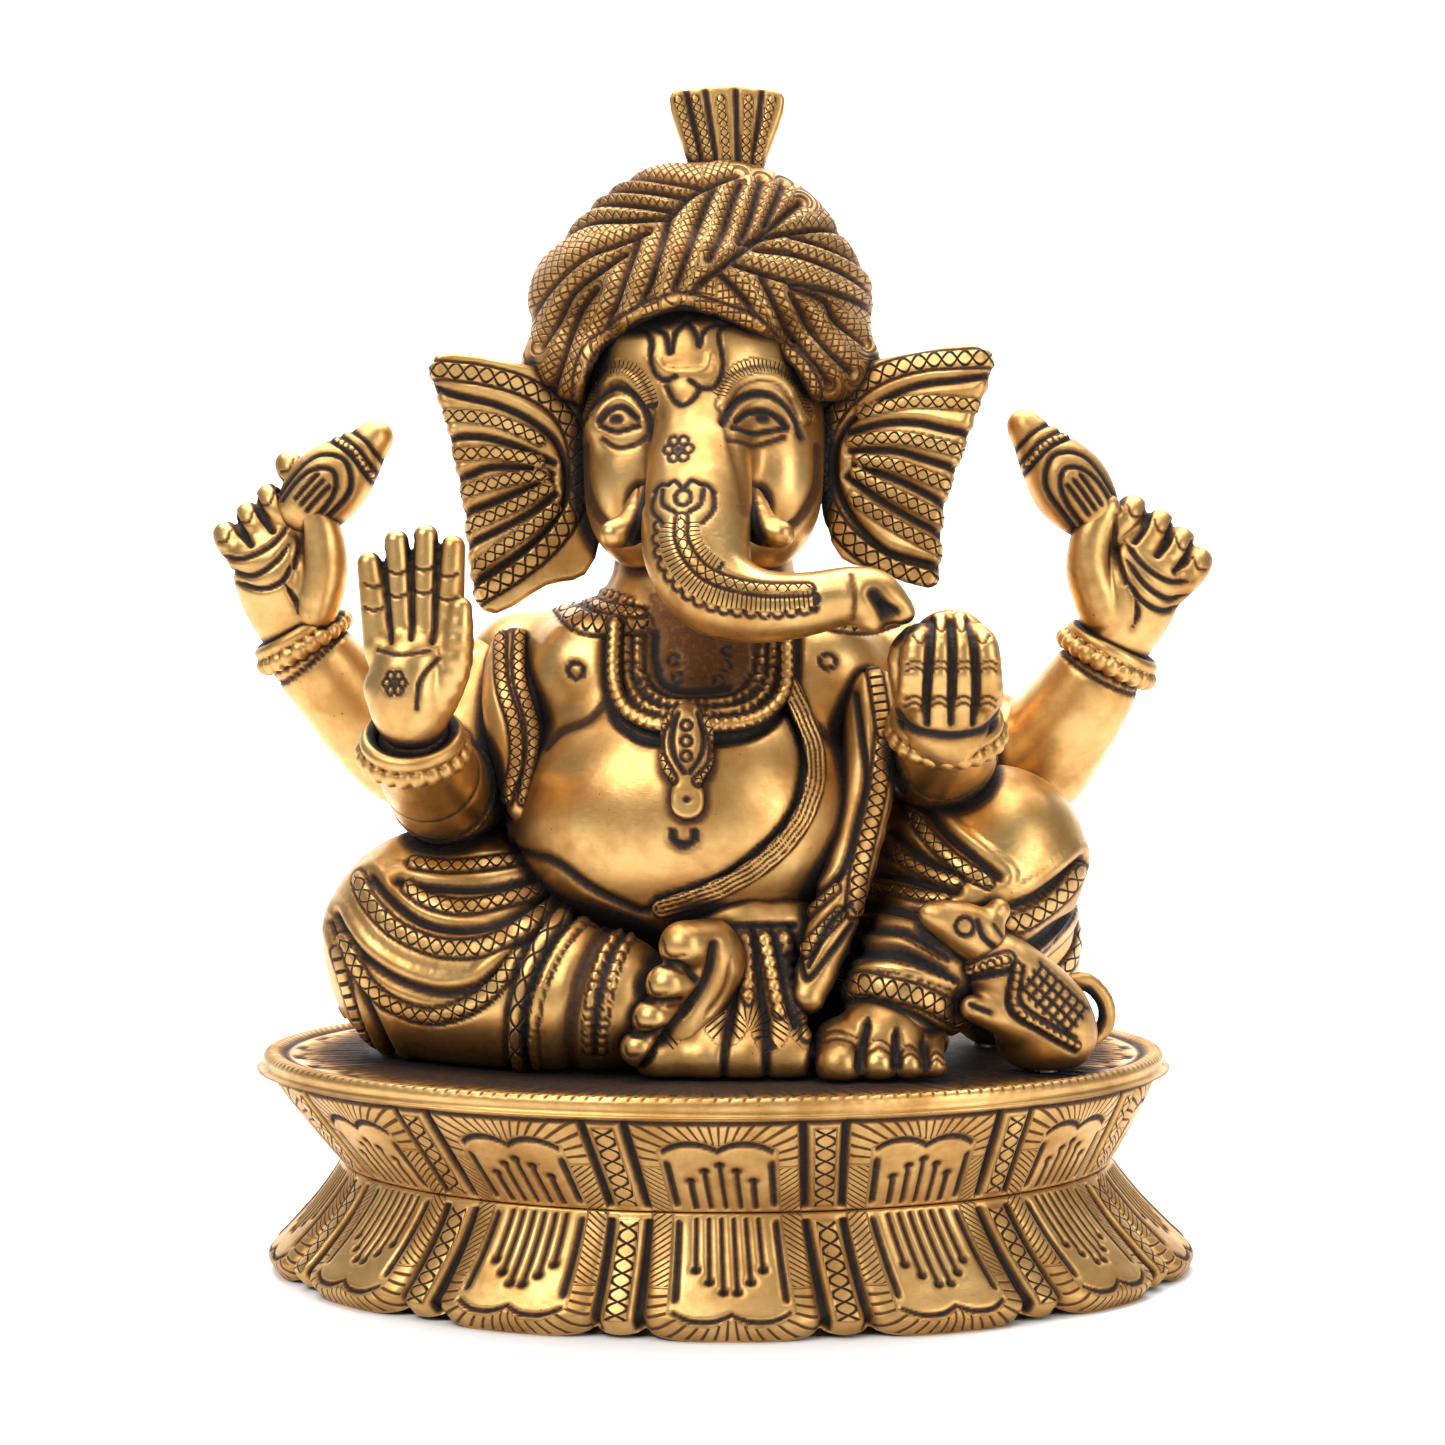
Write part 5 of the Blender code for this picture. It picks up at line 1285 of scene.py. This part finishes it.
def chase_back_left_hand(w):
    for x, z in ((83.4, 149), (88.6, 146), (92.8, 142.6), (96.4, 138.6)):
        w.groove([(x + 1, z - 1.8), (x - 0.8, z - 1.6), (x - 1.6, z + 0.8)], 0.25, 0.25, 0.7)
    for line in ([(86.6, 149.6), (85, 145.4), (83, 142.4)], [(91.2, 146.2), (89.4, 142.2), (87.4, 139.6)],
                 [(95.2, 142.4), (93.2, 138.8), (91, 136.4)]):
        w.groove(line, 0.6, 1.2, 1.0)
    for line in ([(81, 142.6), (84.4, 137.6), (89.4, 134.4), (94.6, 134.6)],
                 [(81, 139), (84.6, 133.8), (89.6, 131), (94, 132)],
                 [(80.8, 135), (84, 130.6), (88.6, 128.6), (93, 130)],
                 [(82.6, 131.4), (83.4, 128), (82.4, 125)]):
        w.groove(line, 0.5, 0.8, 0.95, taper=2.5)
    w.groove([(79.4, 147), (79.4, 140), (81, 134)], 0.45, 0.8, 0.9)


def chase_emblem(foot, tip):
    """Two arches over three bars at the foot of a bud, then hems and scales up to its tip."""
    def chase(w):
        foot_spot, tip_spot = np.array(foot)[[0, 2]], np.array(tip)[[0, 2]]
        along = tip_spot - foot_spot
        across = np.array([-along[1], along[0]]) / np.linalg.norm(along)
        for top, wide in ((0.66, 5.4), (0.5, 3.9)):
            arch = [foot_spot + along * reach + across * wide * width for reach, width in (
                (-0.1, 0.95), (top - 0.3, 1), (top - 0.1, 0.7), (top, 0), (top - 0.1, -0.7), (top - 0.3, -1),
                (-0.1, -0.95))]
            w.groove(arch, 0.5, 0.6, 1.0)
        for shift in (-1.7, 0, 1.7):
            w.groove([foot_spot + along * 0.02 + across * shift,
                      foot_spot + along * 0.36 + across * shift], 0.45,
                     0.6, 1.0)
        for reach in (0.74, 0.84, 0.95):
            w.groove([foot_spot + along * (reach - 0.05) + across * 6, foot_spot + along * reach,
                      foot_spot + along * (reach - 0.05) - across * 6], 0.42, 0.5, 1.0)
        w.beads([foot_spot + along * 0.74 + across * 5, foot_spot + along * 0.79,
                 foot_spot + along * 0.74 - across * 5], 0.55, 1.2, 0.3)
    return chase


def chase_sweet(w):
    for k in range(-2, 3):
        w.groove([(43.2 + k * 3.2, 115.5), (43.2 + k * 2.6, 120), (43.2 + k * 1.2, 126)], 0.35, 0.4, 0.8)


def chase_shawl_right(w):
    for line in ([(-42, 124), (-40.8, 114.2), (-38, 106), (-37.6, 99), (-39.6, 92)],
                 [(-38, 124), (-37.4, 115.3),
                 (-34.8, 107), (-34.4, 100), (-36, 92)]):
        w.band(line, 1.3, "scales", 1.9, 0.4)
    w.groove([(-36, 124.4), (-35.4, 115.3), (-33, 107), (-32.4, 101), (-34.1, 92)], 0.6, 0.6, 1.0)


def chase_shawl_left(w):
    w.band([(32.4, 104), (31.6, 98), (30.6, 92), (28.8, 85), (27.2, 78.5), (26.4, 72)], 1.75, "scales",
           2.2, 0.6)
    w.band([(30.5, 119), (31.5, 112), (32.4, 105)], 1.5, "hatch", 1.6, 0.4)
    w.groove([(27, 112), (28, 104), (29, 96), (27, 88), (24.6, 80), (20, 74)], 0.7, 0.8, 1.0)
    w.band([(22.4, 76), (18.4, 72.6), (15.6, 69.6)], 1.2, "scales", 1.9, 0.5)
    w.band([(23.5, 71.4), (20, 68), (17, 64.6)], 1.2, "scales", 1.9, 0.5)
    w.groove([(24, 79), (19, 74), (14.8, 69.8), (15.6, 64.4), (17.1, 59.6), (21, 63.4), (26, 69)], 0.6,
             0.8, 1.0)
    w.groove([(25.4, 73), (21.6, 69.4), (17.4, 62)], 0.5, 0.6, 1.0)


def chase_mouse_body(w):
    w.ridge([(46.6, 60.6), (50.1, 62.4), (53.6, 63.4)], 1.4, 0.6, edge=1.0)
    w.beads([(46.6, 60.6), (50.1, 62.4), (53.6, 63.4)], 0.6, 1.3, 1.0)
    w.groove([(45, 59), (49.4, 60.2), (54, 61.4)], 0.5, 0.6, 1.0)
    centre, down, across = np.array((62, 55.6)), np.array((0.72, -0.69)), np.array((0.69, 0.72))
    for k in range(-3, 4):
        middle = centre + down * k * 1.9
        w.groove([middle - across * 2.6, middle + across * 3.8], 0.33, 0.4, 0.95)
    for k in range(-1, 3):
        middle = centre + across * k * 1.9
        w.groove([middle - down * 6.4, middle + down * 6.4], 0.33, 0.4, 0.95)
    w.beads([(55.6, 62.6), (55, 55), (60.7, 50.8), (66.6, 47.4)], 0.75, 1.5)
    w.groove([(54.6, 62.8), (53.9, 54.4), (60.4, 49.7), (66.6, 46.2)], 0.5, 0.7, 1.0)
    w.groove([(56.6, 62.2), (56, 55.8), (61, 52), (66.6, 48.8)], 0.4, 0.5, 1.0)
    w.groove([(46.9, 55.4), (50.4, 53.9)], 0.55, 0.6, 1.0)
    w.groove([(42.6, 55.2), (46, 59.4), (51, 61.6)], 0.5, 0.5, 0.8)


def chase_mouse_head(w):
    w.groove(ring((45.8, 69.6), 1.7), 0.4, 0.4, 1.0)
    w.groove([(48.2, 70.6), (49.2, 67.6), (51.4, 65.6)], 0.55, 0.6, 1.0)
    w.groove([(51.4, 69.8), (53, 67.6)], 0.4, 0.4, 0.8)


def chase_tail(w):
    w.dark += 0.12


def chase_pendant(w):
    w.groove([(-6.6, 108.4), (-7.6, 104), (-7, 100.4), (-5.2, 97.6)], 0.5, 0.6, 1.0)
    w.groove([(-2.6, 108.4), (-1.6, 104), (-2.2, 100.4), (-4.2, 97.6)], 0.5, 0.6, 1.0)
    w.band([(-8.4, 107.5), (-10, 105), (-10, 101), (-7.6, 96.4)], 1.0, "scales", 1.7, 0.4)
    w.band([(-1, 107), (0.5, 103), (0, 98.8), (-2.6, 96)], 1.0, "scales", 1.7, 0.4)
    for z in (106.2, 103.3, 100.5):
        w.groove(ring((-4.8, z), 0.95, 10), 0.3, 0.35, 1.0)
    w.groove([(-4.9, 92.6), (-4.6, 92.6)], 0.55, 0.6, 1.0)


CHASES = {
    "torso": chase_torso, "right_leg": chase_right_leg, "left_leg": chase_left_leg,
    "right_foot": chase_right_foot, "left_foot": chase_left_foot, "dhoti_pleats": chase_pleats,
    "head": chase_head, "right_tusk": chase_tusk, "left_tusk": chase_tusk,
    "right_ear": chase_right_ear, "left_ear": chase_left_ear, "turban": chase_turban,
    "turban_plume": chase_plume,
    "front_right_hand": chase_open_hand, "front_left_hand": chase_front_left_hand,
    "back_right_hand": chase_back_right_hand, "back_left_hand": chase_back_left_hand, "sweet": chase_sweet,
    "shawl_right": chase_shawl_right, "shawl_left": chase_shawl_left, "mouse_body": chase_mouse_body,
    "mouse_head": chase_mouse_head, "mouse_tail": chase_tail, "pendant": chase_pendant,
    "front_right_arm": chase_arm(ARMS["front_right"], ((0.62, "band"), (0.78, "line"))),
    "front_left_arm": chase_arm(ARMS["front_left"], ((0.55, "band"), (0.75, "line"))),
    "back_right_arm": chase_arm(ARMS["back_right"], ((0.95, "line"),)),
    "back_left_arm": chase_arm(ARMS["back_left"], ((0.95, "line"),)),
}
for name, (foot, tip) in EMBLEMS.items():
    CHASES[f"{name}_emblem"] = chase_emblem(foot, tip)
CHASED_CASTINGS = {"dhoti_pleats", "right_ear", "left_ear", "turban", "turban_plume", "back_right_emblem",
                   "back_left_emblem",
           "pendant", "shawl_right", "shawl_left", "mouse_body", "mouse_head", "mouse_tail"}


def chase_necklace(w):
    w.beads(NECKLACE, 1.2, 1.7, 0.7)
    w.dark[np.abs(w.height) < 0.05] = np.maximum(w.dark[np.abs(w.height) < 0.05], 0.5)


def chase_thread(w):
    path = smooth_curve(THREAD, 6)
    rows, d, side, s, _ = w.near(path, 3.0, "front")
    across = d * side + 0.09 * np.sin(s * 0.9)
    lines = np.abs((across / 0.95) % 1.0 - 0.5)
    cut = np.clip((lines - 0.26) / 0.16, 0, 1)
    w.height[rows] -= 0.3 * cut
    w.dark[rows] = np.maximum(w.dark[rows], 0.85 * cut)


CHASES["necklace"] = chase_necklace
CHASES["sacred_thread"] = chase_thread

for name in SHAPES:
    chased = name in CHASED_CASTINGS or name in ("necklace", "sacred_thread") or name.endswith("bangle")
    sculpt(name, CHASES.get(name), CHASED if chased else POLISHED,
           [name, "trunk"] if name == "head" else [name])

# ---------------------------------------------------------------- pedestal

FOOT_RADIUS, WAIST_RADIUS, RIM_RADIUS = 91.5, 76.2, 89.0
FOOT_OVAL, OVAL = 0.75, 0.8
FOOT_SHIFT, WAIST_SHIFT = 3.6, 2.6
WAIST_Z, RIM_Z, DECK_Z = 20.8, 38.8, 41.7
PETALS = 14
AROUND = PETALS * 64
PETAL_HALF = 0.385
FOOT_LIFT = 2.2


def lobe(angle):
    """1 at the middle of a petal and 0 in the notch beside it, with a small lobe between two petals."""
    turn = angle / math.tau * PETALS % 1.0
    away = np.minimum(turn, 1 - turn)
    petal = np.sqrt(np.clip(1 - (away / PETAL_HALF) ** 4, 0, 1))
    slim = 0.7 * np.sqrt(np.clip(1 - ((0.5 - away) / (0.5 - PETAL_HALF)) ** 2, 0, 1))
    return np.where(away < PETAL_HALF, petal, slim)


def oval_grid(rows):
    """Points round the pedestal's oval, a row for each (radius, height, lobes, inset)."""
    angle = np.arange(AROUND) * math.tau / AROUND
    out = []
    for radius, z, lobes, inset in rows:
        below = max(0.0, 1 - z / WAIST_Z)
        over = max(0.0, (z - WAIST_Z) / (RIM_Z - WAIST_Z))
        oval = OVAL + (FOOT_OVAL - OVAL) * below
        shift = WAIST_SHIFT + (FOOT_SHIFT - WAIST_SHIFT) * below - WAIST_SHIFT * min(1.0, over)
        reach = radius - lobes * (1 - lobe(angle))
        x = shift + (reach - inset) * np.sin(angle)
        y = -(reach * oval - inset) * np.cos(angle)
        lift = FOOT_LIFT * (1 - lobe(angle)) * max(0.0, 1 - z / 6.0) * (lobes > 0)
        out.append(np.stack([x, y, z + lift], axis=1))
    return np.array(out)


def profile(points, steps):
    """Rows between key rows, evenly spread along the section."""
    keys = smooth_curve(points, 8)
    length = np.concatenate([[0], np.cumsum(np.linalg.norm(np.diff(keys[:, :2], axis=0), axis=1))])
    at = np.linspace(0, length[-1], steps)
    return [[np.interp(a, length, keys[:, i]) for i in range(keys.shape[1])] for a in at]


class Petals:
    """Where each point of a tier lies in its petal: q from -1 to 1 across it, t from 0 at the waist to 1."""

    def __init__(self, work, t):
        columns = np.arange(len(work.p)) % AROUND
        turn = (columns / AROUND * PETALS) % 1.0
        self.away = np.minimum(turn, 1 - turn)
        self.signed = np.where(turn < 0.5, turn, turn - 1)
        self.q = self.signed / PETAL_HALF
        self.t = t
        self.petal = self.away < PETAL_HALF - 0.005
        self.work = work

    def cut(self, distance, width, depth, dark=1.0, where=None):
        """A groove where the distance, in mm, is zero."""
        falloff = np.exp(-((distance / width) ** 2))
        if where is not None:
            falloff = falloff * where
        self.work.height -= depth * falloff
        self.work.dark = np.maximum(self.work.dark, dark * np.clip(falloff * 1.4, 0, 1))


def chase_tier(work, t, size, upper):
    """Engraves the petals: hatched borders, a lobed inner outline, stamens, and scales on the slim petals."""
    a = Petals(work, t)
    across = 13.4  # half a petal's width
    rise = size
    inner = 0.64
    x = a.q * across
    z = a.t * rise
    top = (0.70 if upper else 0.80) * rise
    on_face = (t >= 0) & (t <= 1)
    # inner outline: two upright sides joined by a double curve
    curve = top + 1.0 - 1.6 * np.abs(np.abs(a.q / inner) * 2 - 1) ** 2.2
    corner = np.hypot(np.maximum(np.abs(x) - (inner * across - 2.6), 0), np.maximum(z - (top - 3.2), 0))
    sides = np.abs(np.abs(x) - inner * across)
    upright = np.clip((top - 2.4 - z) / 1.5, 0, 1) * np.clip((z - 0.8) / 1.0, 0, 1)
    a.cut(sides, 0.5, 0.75, 1.0, upright * a.petal * on_face)
    lid = np.abs(z - curve)
    a.cut(lid, 0.42 if not upper else 0.55, 0.5, 0.95, (np.abs(a.q) < inner + 0.01) * a.petal * on_face
          * (corner < 6))
    # stamens
    count = 5 if upper else 6
    for i in range(count):
        spot = (i - (count - 1) / 2) / count * 1.7 * inner * across * 0.9
        reach = (0.42 + 0.10 * math.cos((i - (count - 1) / 2) * 1.2)) * rise if upper else \
            (0.50 + 0.11 * math.cos((i - (count - 1) / 2) * 0.95)) * rise
        line = np.abs(x - spot) * np.where((z > 0.8) & (z < reach), 1, 8)
        a.cut(line, 0.40, 0.6, 0.95, a.petal * on_face * ((z > 0.8) & (z < reach + 0.3)))
        dot = np.hypot(x - spot, z - reach)
        a.cut(dot, 0.72, 0.75, 1.0, a.petal * on_face)
    # hatched border
    outside = a.petal & on_face & ((np.abs(x) > inner * across + 0.9) | (z > curve + 0.8))
    limit = 0.94 if upper else 1.0
    border = outside & (a.t < limit)
    fan = np.arctan2(x, np.maximum(z - top * 0.72, 0.01))
    beside = np.sign(x) * (11.8 + (top * 0.72 - z) + (np.abs(x) - 9) * 0.8)
    slope = np.where(z > top * 0.72, fan * 7.5, beside)
    work.kind["hatch"][border] = 0.62
    work.uv[border, 0] = slope[border] / 1.25
    # grooves beside the slim petals
    notch = (a.away - PETAL_HALF) / PETAL_HALF * across
    a.cut(notch - 0.6, 0.6, 1.3, 1.0, on_face * (a.t > 0.04) * (a.t < limit))
    slim = (a.away > PETAL_HALF + 0.055) & on_face & (a.t < (0.9 if upper else 0.86)) & (a.t > 0.06)
    work.kind["scales"][slim] = 1.0
    work.uv[slim, 0] = z[slim] / 3.0
    work.uv[slim, 1] = ((0.5 - a.away[slim]) * np.sign(a.signed[slim])) / 0.062
    work.height[slim] += 0.25
    if upper:
        a.cut((a.t - 0.955) * rise, 0.42, 0.4, 0.9, on_face * 1.0)
        work.dark[on_face] = np.maximum(work.dark[on_face], 0.10)
    work.dark[border] = np.maximum(work.dark[border], 0.12)


def tier_piece(name, rows, inside, size, upper):
    outer = oval_grid(rows)
    shell = oval_grid(inside)
    points = np.concatenate([outer, shell]) if not upper else np.concatenate([shell, outer])
    count = len(outer)
    at = np.full((len(points), AROUND), -1.0)
    ramp = np.linspace(1, 0, count) if not upper else np.linspace(0, 1, count)
    if upper:
        at[len(shell):] = ramp[:, None]
    else:
        at[:count] = ramp[:, None]

    def chase(work):
        chase_tier(work, at.reshape(-1), size, upper)
        hidden = at.reshape(-1) < 0
        work.dark[hidden] = np.maximum(work.dark[hidden], 0.45)

    return grid_piece(name + "_cast", points, chase, CHASED)


lower_rows = profile([(89.9, 0.0, 4.2, 0), (91.5, 3.4, 3.6, 0), (87.6, 7.6, 2.6, 0), (82.7, 12.5, 1.6, 0),
                      (78.6, 17.4, 0.7, 0), (76.2, WAIST_Z, 0, 0)], 58)
tier_piece("pedestal_lower_tier", lower_rows, profile([(76.2, WAIST_Z, 0, 1.5), (76.2, WAIST_Z, 0, 4),
           (87, 2, 0, 4), (87, 0.05, 0, 1)], 8), 25.6, False)
upper_rows = profile([(76.2, 21.1, 0, 0), (78.6, 24.2, 0.7, 0), (83.2, 30.8, 1.4, 0), (86.4, 36, 1.2, 0),
                      (87.8, RIM_Z, 0.8, 0)], 48)
tier_piece("pedestal_upper_tier", upper_rows, profile([(87.4, RIM_Z, 0, 4), (76.2, 21.1, 0, 4),
                                                       (76.2, 21.1, 0, 1)],
           8), 21.4, True)


def deck():
    """The top plate: a rope rim round an engraved floor, darkened inward from the rim as painted shadow under
    the figure.
    """
    edge = profile([(60, 39.1, 0, 0), (88.2, 39.1, 0, 0), (88.5, 39.6, 0, 0), (89, 41.2, 0, 0),
                    (88.4, 42.4, 0, 0),
                    (87.2, 42.6, 0, 0), (85.6, 42.2, 0, 0), (84.6, 41.7, 0, 0)], 40)
    floor_rows = [(84.6 - 84.3 * (i / 32) ** 1.3, DECK_Z, 0, 0) for i in range(1, 33)]
    under = [(0.3, 39.1, 0, 0), (30, 39.1, 0, 0)]
    rows = under + [row for row in edge if row[0] > 60.5] + floor_rows
    points = oval_grid(rows)
    radius = np.repeat([row[0] for row in rows], AROUND)
    height = np.repeat([row[1] for row in rows], AROUND)

    def chase(work):
        turn = (np.arange(len(work.p)) % AROUND) / AROUND
        length = turn * 520.0
        rope = (height > 41.6) & (radius > 85.2)
        twist = np.abs(((length + (88 - radius) * 1.2) / 2.3) % 1.0 - 0.5)
        cut = np.clip((twist - 0.3) / 0.14, 0, 1) * rope
        work.height -= 0.32 * cut
        work.dark = np.maximum(work.dark, 0.7 * cut)
        top = (height > 41.6) & (radius < 84.9)
        inset = 84.6 - radius
        petal = np.abs((turn * 30) % 1.0 - 0.5) * 2
        arch = np.abs(inset - 2.2 - 5.5 * petal**2.2)
        line = np.exp(-((arch / 0.6) ** 2)) * top
        stroke = np.abs((length / 2.0 + np.sin(turn * 60 * math.pi) * 0.8) % 1.0 - 0.5)
        strokes = np.clip((stroke - 0.3) / 0.15, 0, 1) * top * (inset > 3) * (inset < 16)
        work.height -= 0.45 * np.maximum(line, strokes)
        work.dark = np.maximum(work.dark, np.maximum(line, strokes * 0.9))
        groove = np.exp(-(((inset + 0.2) / 0.7) ** 2)) * (height > 41.5)
        work.dark = np.maximum(work.dark, groove)
        # painted shadow: the floor darkens inward from the rim, where the figure stands over it
        dark_with_painted_shade = np.clip((inset - 2) / 8, 0, 1) * 0.8 * top
        work.dark = np.maximum(work.dark, dark_with_painted_shade)

    grid_piece("pedestal_deck_cast", points, chase, CHASED)


deck()

# ---------------------------------------------------------------- fasteners


def zinc_steel():
    t = Nodes("zinc_steel")
    place = t.add("ShaderNodeTexCoord").outputs["Object"]
    grain = t.noise(1200.0, 3.0, 0.6, place)
    colour = t.mix(grain, (0.50, 0.50, 0.51, 1), (0.62, 0.62, 0.60, 1))
    rough = t.math("ADD", 0.32, t.math("MULTIPLY", grain, 0.2))
    shader = t.add("ShaderNodeBsdfPrincipled", {"Base Color": colour, "Metallic": 1.0, "Roughness": rough})
    out = t.add("ShaderNodeOutputMaterial")
    t.tree.links.new(shader.outputs[0], out.inputs["Surface"])
    return t.material


STEEL = zinc_steel()
for name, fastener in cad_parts.items():
    if name.startswith(("seat_screw", "seat_washer")):
        for holder in fastener.material_slots:
            holder.material = STEEL

# ---------------------------------------------------------------- studio


def plain(name, colour, rough):
    t = Nodes(name)
    shader = t.add("ShaderNodeBsdfPrincipled", {"Base Color": colour, "Roughness": rough})
    out = t.add("ShaderNodeOutputMaterial")
    t.tree.links.new(shader.outputs[0], out.inputs["Surface"])
    return t.material


def studio_floor():
    """A pale floor that sweeps up into a backdrop behind the object."""
    mesh = bpy.data.meshes.new("studio_floor")
    section = [(-2.5, 0.0), (0.9, 0.0)]
    section += [(0.9 + 0.6 * math.sin(a), 0.6 - 0.6 * math.cos(a)) for a in np.linspace(0.15, math.pi / 2,
                                                                                        10)]
    section += [(1.5, 3.2)]
    points = []
    for y, z in section:
        points += [(-3.0, y, z), (3.0, y, z)]
    faces = [(2 * i, 2 * i + 1, 2 * i + 3, 2 * i + 2) for i in range(len(section) - 1)]
    mesh.from_pydata(points, [], faces)
    mesh.shade_smooth()
    mesh.materials.append(plain("floor_paper", (0.86, 0.86, 0.86, 1), 0.7))
    made = bpy.data.objects.new("studio_floor", mesh)
    bpy.context.scene.collection.objects.link(made)


def soft_light(name, spot, aim, size, power, colour=(1, 1, 1)):
    lamp = bpy.data.lights.new(name, "AREA")
    lamp.shape = "RECTANGLE"
    lamp.size, lamp.size_y = size
    lamp.energy = power
    lamp.color = colour
    made = bpy.data.objects.new(name, lamp)
    bpy.context.scene.collection.objects.link(made)
    made.location = spot
    toward = Vector(aim) - Vector(spot)
    made.rotation_euler = toward.to_track_quat("-Z", "Y").to_euler()


CAMERA_SPOT = (0.0018, -0.480, 0.1066)
CAMERA_LENS = 59.8
CAMERA_SENSOR = 36


def camera():
    made = bpy.data.objects.new("camera", bpy.data.cameras.new("camera"))
    bpy.context.scene.collection.objects.link(made)
    made.location = CAMERA_SPOT
    made.rotation_euler = (math.radians(90), 0, 0)
    made.data.lens = CAMERA_LENS
    made.data.sensor_width = CAMERA_SENSOR
    made.data.clip_start = 0.01
    bpy.context.scene.camera = made


def sky(strength):
    world = bpy.data.worlds.new("studio")
    bpy.context.scene.world = world
    bpy.context.scene.view_settings.view_transform = "Standard"
    world.use_nodes = True
    world.node_tree.nodes["Background"].inputs["Color"].default_value = (0.95, 0.97, 1.0, 1)
    world.node_tree.nodes["Background"].inputs["Strength"].default_value = strength


studio_floor()
soft_light("key", (-0.55, -0.75, 0.85), (0, 0, 0.1), (0.7, 0.6), 8.5)
soft_light("fill", (0.8, -0.7, 0.35), (0, 0, 0.1), (0.5, 0.8), 4.5)
soft_light("top", (0.0, -0.1, 1.1), (0, 0, 0.1), (0.9, 0.7), 8.5)
soft_light("back_wash", (0.0, 0.5, 1.6), (0, 1.6, 0.5), (2.2, 0.8), 60)
camera()
sky(0.34)
